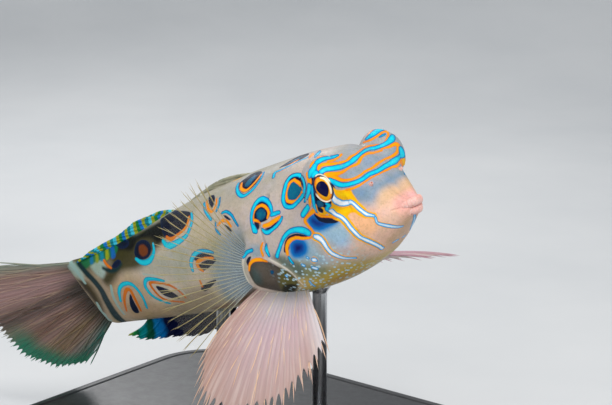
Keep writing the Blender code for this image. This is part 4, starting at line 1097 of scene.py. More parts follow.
def skin_look():
    look = Look("spotted_skin", coat_weight=0.05, coat_roughness=0.2, specular_ior_level=0.09)
    colour = look.colour_field("ground")
    for noise, share, tint in (
            (look.noise(430, 3, 0.6), (0.42, 0.7, 0, 0.6), (0.84, 0.90, 0.74)),
            (look.noise(520, 3, 0.6, stretch=(1.4, 1, 1)), (0.45, 0.7, 0, 0.5), (0.96, 1.04, 1.3)),
            (look.noise(1100, 4, 0.65), (0.4, 0.7, 0, 0.55), (1.26, 1.24, 1.24)),
            (look.noise(4200, 3, 0.6), (0.5, 0.8, 0, 0.45), (0.5, 0.5, 0.44))):
        colour = look.mix(look.spread(noise, *share), colour, tint, "MULTIPLY")
    specks = look.add("TexVoronoi", {"Vector": look.where, "Scale": 2100.0,
                                     "Randomness": 1.0}).outputs["Distance"]
    dots = look.maths("MULTIPLY", look.spread(specks, 0.42, 0.26, smooth=True),
                      look.field("throat"))
    colour = look.mix(dots, colour, linear(182, 212, 222))
    ragged = look.maths("MULTIPLY_ADD", look.noise(2600, 2), 0.09, -0.045)
    aft = look.field("aft")

    def edge(name):
        return look.maths("ADD", look.field(name), ragged)

    def layer(colour, name, shade, outer, inner):
        return look.mix(look.spread(edge(name), outer, inner, smooth=True), colour, shade)
    colour = layer(colour, "dark", look.ramp(
        edge("dark"), (-0.5, linear(4, 40, 48)), (0.1, linear(14, 46, 44))), 0.30, -0.14)
    colour = layer(colour, "blue", look.ramp(
        edge("blue"), (-0.85, linear(0, 22, 96)), (-0.5, linear(0, 66, 150)),
        (-0.1, linear(0, 116, 192)), (0.3, linear(90, 160, 200)), (0.7, linear(150, 186, 206))),
        0.6, -0.12)
    colour = layer(colour, "navy", look.ramp(
        edge("navy"), (-0.5, linear(0, 8, 34)), (0.0, linear(2, 24, 56)),
        (0.08, linear(34, 54, 84))), 0.10, -0.03)
    colour = layer(colour, "rust", linear(112, 54, 16), 0.12, -0.22)
    colour = layer(colour, "yellow", look.ramp(
        edge("yellow"), (-0.5, linear(250, 208, 0)), (-0.12, linear(250, 184, 4)),
        (0.1, linear(250, 168, 36))), 0.10, -0.05)
    speckle = look.spread(look.noise(3200, 3, 0.7), 0.4, 0.7, 0, 0.35)
    colour = layer(colour, "teal", look.mix(speckle, look.ramp(
        edge("teal"), (-0.7, linear(0, 100, 134)), (-0.2, linear(0, 80, 122)),
        (0.0, linear(0, 40, 92))), linear(20, 130, 140)), 0.06, -0.10)
    # the cream lines, with the painted highlight on the lobe's crease among them
    colour = layer(colour, "cream", look.mix(aft, linear(214, 206, 190), linear(148, 176, 168)),
                   0.10, -0.06)
    orange = look.ramp(edge("orange"), (-0.10, linear(255, 166, 0)), (-0.03, linear(250, 142, 8)),
                       (0.02, linear(232, 112, 30)), (0.07, linear(150, 80, 70)))
    orange = look.mix(look.spread(aft, 0.0, 0.5, 0, 0.75), orange, linear(190, 84, 24))
    colour = layer(colour, "orange", orange, 0.07, -0.02)
    cyan = look.ramp(edge("cyan"), (-0.3, linear(20, 224, 240)), (-0.10, linear(0, 200, 230)),
                     (-0.03, linear(0, 140, 196)), (0.04, linear(6, 66, 128)),
                     (0.09, linear(10, 30, 76)))
    cyan = look.mix(look.spread(look.noise(1500, 2), 0.5, 0.7, 0, 0.4), cyan,
                    linear(0, 140, 216))
    cyan = look.mix(look.spread(aft, 0.0, 0.5, 0, 0.5), cyan, linear(10, 180, 190))
    colour = layer(colour, "cyan", cyan, 0.09, 0.02)
    colour = layer(colour, "pale", look.ramp(
        edge("pale"), (-0.17, linear(246, 250, 255)), (-0.1, linear(206, 230, 250)),
        (-0.04, linear(84, 186, 236)), (0.04, linear(20, 120, 190)),
        (0.09, linear(60, 90, 120))), 0.09, 0.02)
    colour = look.mix(look.field("inside"), colour, linear(96, 34, 36))
    look.set(base_color=colour)
    look.set(roughness=look.spread(look.noise(1500, 3), 0.3, 0.7, 0.3, 0.48))
    pores = look.add("TexVoronoi", {"Vector": look.where, "Scale": 5200.0}).outputs["Distance"]
    height = look.maths("ADD", look.maths("MULTIPLY", look.noise(1800, 4, 0.65), 0.7),
                        look.maths("MULTIPLY", look.spread(pores, 0.0, 0.4), 0.3))
    look.bump(height, 0.00007, 0.8)
    look.set(subsurface_weight=0.02, subsurface_radius=(1.0, 0.6, 0.4), subsurface_scale=0.0003)
    return look.material


def build_skin():
    grid = skin_grid()
    rows, columns = grid.shape[:2]
    points, faces = grid.reshape(-1, 3), grid_faces(rows, columns, closed=True)
    canvas = Canvas(points, faces)
    shaped = shape_skin(canvas, grid_normals(grid))
    bent = SPINE.bend(shaped)
    canvas.note_view(bent, grid_normals(bent.reshape(grid.shape)))
    ends = np.stack([shaped[:columns].mean(0), shaped[-columns:].mean(0)])
    skin = make_piece("fish_skin", SPINE.bend(np.concatenate([shaped, ends])),
                      capped(rows, columns), skin_look(), ("head", "trunk", "tail_stem"))
    for name, values in stored_fields(canvas).items():
        store(skin, **{name: np.concatenate([values, values[[0, -1]]])})


# Painting of the right eye, in pixels, and its rim; its pale stroke is cream and painted highlight
IRIS = [(319, 177), (324.5, 178.5), (329, 183), (331.9, 190), (331.8, 196), (329.5, 200.5),
    (325.8, 201.4), (320.5, 198.5), (316.4, 192), (314.4, 184.6), (315.6, 179)]
PUPIL = [(321, 181), (325, 182.4), (328.6, 187.6), (328.6, 193), (326.8, 196.8), (322.6, 195.4),
    (318.2, 192), (316, 188.4), (317.2, 183.6)]
EYE_CREAM_AND_GLINT = [(320.6, 177.6, 1.6), (325, 179, 2.4), (328.8, 183.4, 2.8), (330.9, 189, 2.6),
    (331.2, 193, 1.6)]
EYE_RINGS, EYE_AROUND = 48, 96
RIM_RADIUS, RIM_SIDES = 0.12, 10
RIM_BRIGHT = 2.1         # angle round the eye, in radians, where its rim is palest
RIM_OUT, RIM_RISE = 1.03, 0.02
# The eyeball's front reaches from near its middle to past its opening, and has a coarser back
# beneath it
EYE_MIDDLE, EYE_PAST, EYE_THICK, BACK_STEP = 0.02, 1.09, 0.3, 6


def disc(rings, around, reach):
    """Polar grid over an eye's opening: across and tall, from near the middle to reach."""
    off = np.linspace(EYE_MIDDLE, reach, rings)[:, None]
    angle = np.linspace(0, 2 * math.pi, around, endpoint=False)[None, :]
    return off * np.cos(angle) * EYE_OPENING[0], off * np.sin(angle) * EYE_OPENING[1]


def from_eye(side, across, tall, height):
    """Straight-fish places from places in an eye's frame."""
    centre, axes = eye_frame(side)
    return centre + np.stack(np.broadcast_arrays(across, tall, height), -1) @ axes


def build_eye(side, name, look, rim_look, fields):
    across, tall = disc(EYE_RINGS, EYE_AROUND, EYE_PAST)
    height, back = eye_surface(across, tall), slice(None, None, -BACK_STEP)
    front = from_eye(side, across, tall, height)
    rear = from_eye(side, across[back], tall[back], height[back] - EYE_THICK)
    grid = np.concatenate([front, rear])
    ends = np.stack([front[0].mean(0), rear[-1].mean(0)])
    points = np.concatenate([grid.reshape(-1, 3), ends])
    faces = capped(len(grid), EYE_AROUND, flip=side > 0)
    eye = make_piece("eyeball_" + name, SPINE.bend(points), faces, look, ("eye_" + name,))
    if side < 0:
        canvas = Canvas(front.reshape(-1, 3), grid_faces(EYE_RINGS, EYE_AROUND, closed=True))
        for label, values in (("iris", paint(canvas, fills=[IRIS])),
                              ("pupil", paint(canvas, fills=[PUPIL])),
                              ("pale", paint(canvas, [EYE_CREAM_AND_GLINT]))):
            values = values.reshape(front.shape[:2])
            values = np.concatenate([values, values[back]])
            ends = [values[0].mean(), values[-1].mean()]
            fields[label] = np.concatenate([values.ravel(), ends])
    store(eye, **fields)
    turn = np.linspace(0, 2 * math.pi, EYE_AROUND, endpoint=False)
    a, t = np.cos(turn) * EYE_OPENING[0] * RIM_OUT, np.sin(turn) * EYE_OPENING[1] * RIM_OUT
    ring = from_eye(side, a, t, eye_surface(a, t) + RIM_RISE)
    points, faces = hoop(ring, RIM_RADIUS, RIM_SIDES)
    rim = make_piece("eye_rim_" + name, SPINE.bend(points), faces, rim_look)
    store(rim, bright=np.repeat(0.5 + 0.5 * np.cos(2 * (turn - RIM_BRIGHT)), RIM_SIDES))


def hoop(line, radius, sides):
    """A closed round tube along a closed line."""
    ahead = np.roll(line, -1, 0) - np.roll(line, 1, 0)
    ahead /= np.linalg.norm(ahead, axis=1, keepdims=True)
    normal = np.cross(ahead, line - line.mean(0))
    normal /= np.linalg.norm(normal, axis=1, keepdims=True)
    other = np.cross(ahead, normal)
    turn = np.linspace(0, 2 * math.pi, sides, endpoint=False)[None, :, None]
    ring = np.cos(turn) * normal[:, None] + np.sin(turn) * other[:, None]
    grid = line[:, None] + radius * ring
    rows = np.arange(len(line))[:, None]
    ahead_rows = (rows + 1) % len(line)
    j = np.arange(sides)[None, :]
    k = (j + 1) % sides
    faces = np.stack(np.broadcast_arrays(rows * sides + j, rows * sides + k,
                                         ahead_rows * sides + k, ahead_rows * sides + j), -1)
    return grid.reshape(-1, 3), faces.reshape(-1, 4)


def tube(line, radii, sides, flat=1.0, up=(0, 0, 1)):
    """A round tube along an open line, its ends closed to points; flat widens it across up."""
    line = np.asarray(line, float)
    ahead = np.gradient(line, axis=0)
    ahead /= np.linalg.norm(ahead, axis=1, keepdims=True)
    across = np.cross(ahead, np.broadcast_to(up, ahead.shape))
    across /= np.linalg.norm(across, axis=1, keepdims=True)
    over = np.cross(across, ahead)
    turn = np.linspace(0, 2 * math.pi, sides, endpoint=False)[None, :, None]
    reach = np.asarray(radii)
    reach = reach[:, None, None] if reach.ndim == 1 else reach[..., None]
    grid = line[:, None] + reach * (flat * np.cos(turn) * across[:, None]
                                    + np.sin(turn) * over[:, None])
    points = np.concatenate([grid.reshape(-1, 3), line[:1], line[-1:]])
    return points, capped(len(line), sides, flip=True)


def eye_look():
    look = Look("eyeball", roughness=0.16, coat_weight=0.16, coat_roughness=0.02,
                specular_ior_level=0.08)
    edge = look.maths("MULTIPLY_ADD", look.noise(3200, 2), 0.05, -0.025)
    iris = look.ramp(look.field("iris"), (-0.5, linear(255, 178, 4)),
                     (-0.2, linear(252, 164, 8)), (-0.05, linear(240, 126, 14)))
    streaks = look.noise(5200, 3, 0.7)
    iris = look.mix(look.spread(streaks, 0.5, 0.75, 0, 0.4), iris, linear(255, 210, 60))
    pupil = look.ramp(look.field("pupil"), (-0.5, linear(0, 2, 60)), (-0.15, linear(0, 4, 62)),
                      (0.0, linear(6, 4, 26)))
    colour = linear(30, 40, 70)
    # the pale stroke is partly the rim's cream and partly a painted highlight
    for name, soft, shade in (("iris", 0.05, iris), ("pupil", 0.035, pupil),
                              ("pale", 0.04, linear(252, 236, 200))):
        inside = look.spread(look.maths("ADD", look.field(name), edge), soft, -soft, smooth=True)
        colour = look.mix(inside, colour, shade)
    look.set(base_color=colour)
    look.bump(look.noise(2600, 2), 0.00001, 0.3)
    return look.material


def rim_look():
    """The eye's rim: cream above in front and below behind, and dark blue between."""
    look = Look("eye_rim_skin", roughness=0.3, coat_weight=0.2, coat_roughness=0.15)
    colour = look.blotched(1700, (226, 216, 188), (254, 246, 226))
    uneven = look.maths("MULTIPLY", look.noise(2600, 3), 0.3)
    where = look.maths("ADD", look.field("bright"), uneven)
    colour = look.mix(look.spread(where, 0.45, 0.75, smooth=True), linear(8, 22, 60), colour)
    look.set(base_color=colour)
    look.bump(look.noise(4200, 3), 0.00004, 0.6)
    return look.material


def nostril_look():
    look = Look("nostril_skin", roughness=0.4, coat_weight=0.1, coat_roughness=0.2)
    look.set(base_color=look.blotched(2400, (226, 168, 156), (240, 200, 188)))
    look.bump(look.noise(4200, 3), 0.00004, 0.6)
    return look.material


# Lips: height, how far back, reach to each side, drop at the corners, radius and its thinning
UPPER_LIP = (0.40, 0.44, 1.52, 0.30, 0.50, 0.29)
LOWER_LIP = (-0.50, 0.62, 1.43, -0.30, 0.46, 0.27)
MOUTH_DEPTH, LIP_FLAT = 1.6, 0.82
LIP_STEPS, LIP_SIDES = 160, 40
LIP_WRINKLES = ((31, 0.022), (53, 0.014), (83, 0.008))    # how many, and how deep
LIP_TAPER, LIP_END = 0.05, 0.02         # share of a lip over which its ends close, and how far


def build_lip(name, sizes, look, phase):
    """A wrinkled roll round one half of the mouth."""
    height, back, reach, drop, radius, thinner = sizes
    turn = np.linspace(-1, 1, LIP_STEPS)
    line = np.stack([-back - MOUTH_DEPTH * (1 - np.cos(turn * math.pi / 2)),
                     reach * np.sin(turn * math.pi / 2), height - drop * turn ** 2], -1)
    around = np.linspace(0, 2 * math.pi, LIP_SIDES, endpoint=False)[None, :]
    radii = np.broadcast_to((radius - thinner * turn ** 2)[:, None], (LIP_STEPS, LIP_SIDES))
    wrinkle = sum(deep * np.sin(count * turn[:, None] * 1.6 + phase + np.sin(around + count))
                  for count, deep in LIP_WRINKLES)
    taper = np.sqrt(np.clip((1 - np.abs(turn)) / LIP_TAPER, LIP_END, 1))[:, None]
    radii = (radii + wrinkle * (0.6 + 0.4 * np.cos(around))) * taper
    points, faces = tube(line, radii, LIP_SIDES, LIP_FLAT)
    make_piece(name + "_roll", SPINE.bend(points), faces, look, (name,))


def lip_look():
    look = Look("lip_skin", roughness=0.4, coat_weight=0.15, coat_roughness=0.2,
                specular_ior_level=0.3, subsurface_weight=0.15,
                subsurface_radius=(1.0, 0.4, 0.25), subsurface_scale=0.0006)
    colour = look.blotched(1400, (234, 174, 162), (242, 204, 194), detail=4, roughness=0.6)
    colour = look.mix(look.spread(look.noise(3800, 3), 0.55, 0.75, 0, 0.4), colour,
                      linear(214, 152, 138))
    look.set(base_color=colour)
    look.bump(look.noise(3600, 4, 0.6), 0.00006, 0.8)
    return look.material


# Fins, as in the part's source, with finer rays. Pairs of lists are places across a fin, from 0
# to 1, and a value at each: degrees for angles and millimetres for lengths.
ROOT_SUNK, FIN_SAG, FOLDED_SAG = 0.8, 0.8, 0.5
# Roots of the paired fins: how far behind the snout, out to the side and up the first ray's is,
# and how much farther the last one's
PECTORAL_ROOTS = ((18.5, 6.0, -0.8), (1, -0.3, -3.9))
PELVIC_ROOTS = ((14.3, 4.0, -6.9), (5, 1.4, 1.5))
PECTORAL_RIGHT = ((0, 0.25, 0.5, 0.75, 1), (88, 54, 22, -4, -34))
PECTORAL_LEFT = ((0, 0.5, 1), (26, -2, -32))
PECTORAL_FLARE, PECTORAL_LENGTHS = 20, ((0, 0.3, 0.7, 1), (9.5, 10.5, 12.0, 11.5))
PELVIC_TILT_RIGHT, PELVIC_TILT_LEFT = -43, -19
PELVIC_SWEEP = ((0, 0.2, 0.45, 0.7, 1), (30, 17, 2, -22, -38))
PELVIC_LEFT_FORWARD, PELVIC_LEFT_LONGER = 14, 1.05
PELVIC_LENGTHS = ((0, 0.15, 0.35, 0.6, 0.8, 1), (8.5, 11.5, 14.8, 16.2, 15.0, 10.5))
CAUDAL_TOP, CAUDAL_LOW, CAUDAL_ANGLES = 3.9, -4.7, (8, -42)
CAUDAL_LENGTHS = ((0, 0.15, 0.35, 0.65, 0.85, 1), (11.0, 13.5, 15.0, 15.0, 12.5, 8.5))
# First and last place behind the snout, ray length and rise of the fins along the midline, and
# how far the second dorsal fin's rear settles down towards the near side
DORSAL_FIRST, DORSAL_SECOND = (18.6, 25.2, 7.2, 11), (31.0, 43.4, 5.8, 17)
ANAL, SECOND_SETTLED = (30.0, 42.5, 6.4, 34), 0.13
SHORT_OUTLINE, FULL_OUTLINE = ((0, 1), (1, 0.45)), ((0, 0.15, 0.8, 1), (0.8, 1, 1, 0.75))
# Branches start this far inside the ray they leave, part over this much of it, and taper over
# this share of it at their tips, which keep this share of their radius
BRANCH_SUNK, BRANCH_RUN, TIP_TAPER, TIP_LEAST = 0.02, 0.5, 0.06, 0.15
CROOKS = 9               # how fast a crooked ray waves, in radians over its length
# Where along the rays a web's pleats rise, how much they fall by its edge, and how its thickness
# at the root thins
PLEAT_RISE, PLEAT_FALL, WEB_THICK, WEB_THINNING = (0.05, 0.4), 0.3, 1.2, 0.6


class Fin:
    """A fin's sheet: a world point for a place t across it and a reach u along its rays."""

    def __init__(self, roots, directions, lengths, sag, carry):
        self.roots, self.directions, self.lengths = roots, directions, lengths
        self.sag, self.carry = np.asarray(sag, float), carry

    def at(self, t, u):
        t, u = np.broadcast_arrays(np.asarray(t, float), np.asarray(u, float))
        direction = self.directions(t)
        direction = direction / np.linalg.norm(direction, axis=-1, keepdims=True)
        reach = (self.lengths(t) + ROOT_SUNK) * u - ROOT_SUNK
        return self.carry(self.roots(t) + direction * reach[..., None]
                          + self.sag * (4 * u * (1 - u))[..., None])

    def out(self, t, u, step=0.004):
        across = self.at(np.add(t, step), u) - self.at(np.subtract(t, step), u)
        along = self.at(t, np.add(u, step)) - self.at(t, np.subtract(u, step))
        normal = np.cross(across, along)
        return normal / np.maximum(np.linalg.norm(normal, axis=-1, keepdims=True), 1e-9)


def stiff(points):
    return SPINE.rigid(points, SIDE_FIN_PLACE)


def root_line(first, run, side):
    """Roots of a paired fin's rays on the straight fish, for places across it."""
    return lambda t: np.stack([-(first[0] + run[0] * t), side * (first[1] + run[1] * t),
                               first[2] + run[2] * t], -1)


def pectoral_fin(side):
    flare = math.radians(PECTORAL_FLARE)
    angles = PECTORAL_RIGHT if side < 0 else PECTORAL_LEFT

    def directions(t):
        angle = np.radians(np.interp(t, *angles))
        return np.stack([-np.cos(angle) * math.cos(flare),
                         np.full(t.shape, side * math.sin(flare)),
                         np.sin(angle) * math.cos(flare)], -1)
    return Fin(root_line(*PECTORAL_ROOTS, side), directions,
               lambda t: np.interp(t, *PECTORAL_LENGTHS), (0, side * FIN_SAG, 0), stiff)


def pelvic_fin(side):
    tilt = math.radians(PELVIC_TILT_RIGHT if side < 0 else PELVIC_TILT_LEFT)
    forward, longer = (0, 1) if side < 0 else (PELVIC_LEFT_FORWARD, PELVIC_LEFT_LONGER)

    def directions(t):
        sweep = np.radians(np.interp(t, *PELVIC_SWEEP) + forward)
        return np.stack([np.sin(sweep), side * np.cos(sweep) * math.cos(tilt),
                         np.cos(sweep) * math.sin(tilt)], -1)
    return Fin(root_line(*PELVIC_ROOTS, side), directions,
               lambda t: longer * np.interp(t, *PELVIC_LENGTHS), (0, 0, FIN_SAG), stiff)


def caudal_fin():
    def height(t):
        return CAUDAL_TOP + (CAUDAL_LOW - CAUDAL_TOP) * t

    def directions(t):
        angle = np.radians(CAUDAL_ANGLES[0] + (CAUDAL_ANGLES[1] - CAUDAL_ANGLES[0]) * t)
        return np.stack([-np.cos(angle), 0 * t, np.sin(angle)], -1)
    return Fin(lambda t: np.stack([-BODY_LENGTH - STEM_SLANT * height(t), 0 * t, height(t)], -1),
               directions, lambda t: np.interp(t, *CAUDAL_LENGTHS), (0, 0, 0), SPINE.bend)


def median_fin(start, end, length, rise, outline, edge, up, settled=0.0):
    """A folded fin along the back's or belly's edge, its rear rays lower where it has settled."""
    angle = math.radians(rise)
    sunk = up * ROOT_SUNK * math.cos(angle)

    def place(t):
        return start + (end - start) * t

    def slope(t):
        return edge(place(t) + 0.5) - edge(place(t) - 0.5)
    return Fin(lambda t: np.stack([-place(t), 0 * t, edge(place(t)) - sunk], -1),
               lambda t: np.stack([np.full(t.shape, -math.cos(angle)), -settled * t * t,
                                   up * math.sin(angle) + slope(t) - settled * t * t], -1),
               lambda t: length * np.interp(t, *outline), (0, 0, up * FOLDED_SAG), SPINE.bend)


def build_web(name, fin, look, replaced, rays, notch, half, pleat, rows=40, each=6,
              reach=1.0):
    """A thin closed sheet between the rays, pleated and notched between each two of them.

    Half is half its thickness and pleat how far it bellies out, in millimetres; notch is the
    share of the rays' length by which its edge falls back between them.
    """
    columns = (rays - 1) * each + 1
    t = np.linspace(0, 1, columns)[:, None]
    u = np.linspace(0, 1, rows)[None, :]
    between = np.sin(math.pi * ((t * (rays - 1)) % 1))
    edge = reach * (1 - notch * between)
    middle, normal = fin.at(t, u * edge), fin.out(t, u * edge)
    fade = eased(u, *PLEAT_RISE) * (1 - PLEAT_FALL * u)
    middle = middle + normal * (pleat * between * fade)[..., None]
    thick = np.broadcast_to(half * (WEB_THICK - WEB_THINNING * u), (columns, rows))[..., None]
    grid = np.concatenate([middle + normal * thick, (middle - normal * thick)[:, ::-1]], 1)
    faces = grid_faces(columns, 2 * rows, closed=True).tolist()
    last = (columns - 1) * 2 * rows
    for k in range(rows - 1):
        quad = (k, k + 1, 2 * rows - 2 - k, 2 * rows - 1 - k)
        faces.append(quad)
        faces.append(tuple(last + n for n in quad[::-1]))
    web = make_piece(name, grid.reshape(-1, 3), faces, look, replaced)
    along = np.broadcast_to(np.concatenate([u * edge, (u * edge)[:, ::-1]], 1), grid.shape[:2])
    store(web, along=along.ravel(), across=np.broadcast_to(t, grid.shape[:2]).ravel())


def build_rays(name, fin, look, lines, sides=6):
    """Round rays along a fin's sheet: each line gives t and u along it, and its radii."""
    points, faces, along, across = [], [], [], []
    count = 0
    for t, u, radii in lines:
        middle, normal = fin.at(t, u), fin.out(t, u)
        made, made_faces = tube(middle, radii, sides, up=normal)
        points.append(made)
        faces += [[n + count for n in face] for face in made_faces]
        count += len(made)
        along.append(np.concatenate([np.repeat(u, sides), u[[0, -1]]]))
        across.append(np.concatenate([np.repeat(t, sides), t[[0, -1]]]))
    rays = make_piece(name, np.concatenate(points), faces, look)
    store(rays, along=np.concatenate(along), across=np.concatenate(across))


def branched(mains, spread, splits, tips, radius, thin, steps=40, crook=0.0):
    """Lines of branching rays: each main ray parts at the given reaches into equal branches."""
    lines = []
    for main in mains:
        for signs in product((-1, 1), repeat=len(splits)):
            start = max([0.0] + [split - BRANCH_SUNK for split, sign in zip(splits, signs)
                                 if sign > 0])
            tip = tips[0] + (tips[1] - tips[0]) * RNG.random()
            u = np.linspace(start, tip, steps)
            t = np.full(steps, float(main))
            offset = spread
            for split, sign in zip(splits, signs):
                offset /= 2
                t += sign * offset * eased(u, split, split + BRANCH_RUN)
            t += crook * np.sin(u * CROOKS + 6 * RNG.random()) * u
            radii = radius + (thin - radius) * np.clip(u, 0, 1)
            radii = radii * np.clip((tip - u) / TIP_TAPER, TIP_LEAST, 1)
            lines.append((t, u, radii))
    return lines


def fin_look(name, colours, streak, streak_share, alpha=1.0, roughness=0.32, across_tint=(),
             corners=()):
    """Colours along the rays from root to edge, streaked along them, tinted across the fin.

    A tint has its start, full place and end across the fin, a colour and a share; a corner has
    two places along the rays and two across between which its colour rises.
    """
    look = Look(name, roughness=roughness, coat_weight=0.1, coat_roughness=0.2,
                specular_ior_level=0.3,
                subsurface_weight=0.1, subsurface_radius=(1.0, 0.6, 0.5),
                subsurface_scale=0.0004, alpha=alpha)
    along, across = look.field("along"), look.field("across")
    colour = look.ramp(along, *colours)
    where = look.add("CombineXYZ", {"X": look.maths("MULTIPLY", across, 70.0),
                                    "Y": look.maths("MULTIPLY", along, 3.0)}).outputs[0]
    streaks = look.add("TexNoise", {"Vector": where, "Scale": 1.0, "Detail": 3.0}).outputs["Fac"]
    for start, full, end, shade, share in across_tint:
        rise = look.spread(across, start, full, smooth=True)
        fall = look.spread(across, full, end, 1.0, 0.0, smooth=True)
        part = look.maths("MULTIPLY", look.maths("MULTIPLY", rise, fall), share)
        colour = look.mix(part, colour, shade)
    colour = look.mix(look.spread(streaks, 0.45, 0.7, 0, streak_share), colour, streak)
    for reach, part, shade in corners:
        tip = look.maths("MULTIPLY", look.spread(along, *reach, smooth=True),
                         look.spread(across, *part, smooth=True))
        colour = look.mix(tip, colour, shade)
    look.set(base_color=colour)
    look.bump(look.noise(3000, 3), 0.00003, 0.6)
    return look


def build_pelvics():
    web = fin_look("pelvic_web", ((0.0, linear(172, 200, 190)), (0.12, linear(206, 200, 204)),
                                  (0.4, linear(206, 176, 184)), (1.0, linear(190, 156, 142))),
                   linear(226, 204, 196), 0.5, alpha=0.86,
                   across_tint=((0.5, 1.0, 1.6, linear(186, 142, 124), 0.75),
                                (-0.5, 0.0, 0.16, linear(232, 228, 232), 0.7)))
    rays = fin_look("pelvic_rays", ((0.0, linear(214, 216, 204)), (0.3, linear(224, 196, 176)),
                                    (0.7, linear(226, 184, 146)), (1.0, linear(214, 172, 150))),
                    linear(240, 214, 190), 0.4, roughness=0.3)
    far_rays = fin_look("far_pelvic_rays", ((0.0, linear(206, 196, 196)),
                                            (0.4, linear(196, 154, 168)),
                                            (1.0, linear(186, 144, 156))),
                        linear(218, 184, 192), 0.4, roughness=0.3)
    mains = np.linspace(0.06, 0.94, 6)
    for side, name, ray_look in ((-1, "right", rays), (1, "left", far_rays)):
        fin = pelvic_fin(side)
        build_web("pelvic_web_" + name, fin, web.material,
                  ("pelvic_fin_" + name,), rays=25, notch=0.10, half=0.035, pleat=0.10, reach=0.96)
        lines = branched(mains, spread=0.12, splits=(0.14, 0.34), tips=(1.0, 1.06), radius=0.115,
                         thin=0.05, crook=0.003)
        build_rays("pelvic_rays_" + name, fin, ray_look.material, lines)


def build_pectorals():
    web = fin_look("pectoral_web", ((0.0, linear(126, 148, 164)), (0.2, linear(140, 158, 170)),
                                    (0.4, linear(176, 174, 156)), (1.0, linear(190, 184, 160))),
                   linear(214, 208, 186), 0.3)
    along = web.field("along")
    web.set(alpha=web.ramp(along, (0.0, (0.8,) * 3), (0.16, (0.5,) * 3), (0.32, (0.06,) * 3),
                           (1.0, (0.02,) * 3)))
    rays = fin_look("pectoral_rays", ((0.0, linear(140, 160, 172)), (0.2, linear(150, 160, 158)),
                                      (0.4, linear(164, 152, 108)), (1.0, linear(172, 156, 104))),
                    linear(200, 186, 144), 0.35, roughness=0.4)
    for side, name in ((-1, "right"), (1, "left")):
        fin = pectoral_fin(side)
        build_web("pectoral_web_" + name, fin, web.material,
                  ("pectoral_fin_" + name,), rays=23, notch=0.06, half=0.02, pleat=0.05,
                  reach=0.93)
        lines = branched(np.linspace(0.0, 1.0, 23), spread=0.014, splits=(0.66,),
                         tips=(0.94, 1.03), radius=0.062, thin=0.03, crook=0.004)
        build_rays("pectoral_rays_" + name, fin, rays.material, lines, sides=5)


def build_caudal():
    tints = ((-0.3, 0.0, 0.12, linear(130, 142, 126), 0.9),
             (0.10, 0.24, 0.38, linear(160, 126, 124), 0.8),
             (0.30, 0.42, 0.54, linear(44, 28, 20), 0.85),
             (0.48, 0.58, 0.70, linear(98, 68, 50), 0.85),
             (0.64, 0.76, 0.90, linear(98, 80, 28), 0.75),
             (0.80, 0.97, 1.3, linear(0, 96, 84), 0.95))
    # The second corner and the darkest root colours of the web and rays below are the root's own
    # brown, deepened by painted shade
    corners = (((0.70, 0.90), (0.40, 0.62), linear(4, 112, 82)),
               ((0.40, 0.08), (0.14, 0.36), linear(38, 28, 12)))
    web = fin_look("tail_web", ((0.0, linear(34, 28, 14)), (0.12, linear(84, 68, 52)),
                                (0.3, linear(140, 110, 102)), (1.0, linear(140, 112, 102))),
                   linear(170, 140, 130), 0.35, alpha=0.9, across_tint=tints, corners=corners)
    rays = fin_look("tail_rays", ((0.0, linear(54, 46, 28)), (0.3, linear(150, 122, 106)),
                                  (1.0, linear(160, 132, 116))), linear(176, 150, 120), 0.4,
                    across_tint=tints, corners=corners)
    fin = caudal_fin()
    build_web("tail_web", fin, web.material, ("caudal_fin",), rays=34, notch=0.05,
              half=0.045, pleat=0.09)
    lines = branched(np.linspace(0.02, 0.98, 10), spread=0.075, splits=(0.25, 0.5),
                     tips=(0.98, 1.03), radius=0.15, thin=0.06, crook=0.003)
    build_rays("tail_rays", fin, rays.material, lines)


def striped_look(name, shades, stripes, slant, base):
    """Slanting stripes across a folded fin, in turn in the given shades."""
    look = Look(name, roughness=0.45, coat_weight=0.06, coat_roughness=0.25,
                specular_ior_level=0.12)
    along, across = look.field("along"), look.field("across")
    where = look.maths("MULTIPLY_ADD", along, slant, look.maths("MULTIPLY", across, stripes))
    where = look.maths("ADD", where, look.maths("MULTIPLY", look.noise(700, 2), 0.22))
    phase = look.maths("FRACT", where)
    count = len(shades)
    stops = []
    for k, shade in enumerate(shades):
        stops += [((k + 0.12) / count, shade), ((k + 0.88) / count, shade)]
    colour = look.ramp(phase, *stops)
    colour = look.mix(look.spread(along, 0.0, 0.3, 0.7, 0.0), colour, base)
    look.set(base_color=colour)
    look.bump(look.noise(2600, 3), 0.00004, 0.7)
    return look


def dotted_look():
    """The folded first dorsal fin: greenish grey with small pale dots."""
    look = Look("first_dorsal_skin", roughness=0.4, coat_weight=0.12, coat_roughness=0.2,
                specular_ior_level=0.25)
    colour = look.blotched(900, (132, 136, 114), (164, 160, 136), high=0.65)
    dots = look.add("TexVoronoi", {"Vector": look.where, "Scale": 1300.0}).outputs["Distance"]
    colour = look.mix(look.spread(dots, 0.34, 0.2, smooth=True), colour, linear(206, 210, 188))
    look.set(base_color=colour)
    look.bump(look.noise(2600, 3), 0.00004, 0.7)
    return look


def anal_look():
    """Dark blue in front, with blue, teal and green bands at the rear end."""
    look = Look("anal_skin", roughness=0.5, coat_weight=0.03, coat_roughness=0.3,
                specular_ior_level=0.08)
    along, across = look.field("along"), look.field("across")
    where = look.maths("MULTIPLY_ADD", along, 0.42, across)
    where = look.maths("ADD", where, look.maths("MULTIPLY", look.noise(900, 2), 0.06))
    colour = look.ramp(where, (0.0, linear(2, 6, 34)), (0.95, linear(0, 8, 48)),
                       (1.0, linear(0, 100, 168)), (1.08, linear(0, 116, 172)),
                       (1.12, linear(0, 70, 54)), (1.19, linear(0, 84, 58)),
                       (1.23, linear(0, 132, 142)), (1.29, linear(0, 136, 130)),
                       (1.33, linear(0, 96, 56)), (1.4, linear(20, 140, 70)),
                       (1.46, linear(170, 164, 20)))
    look.set(base_color=colour)
    look.bump(look.noise(2600, 3), 0.00004, 0.7)
    return look


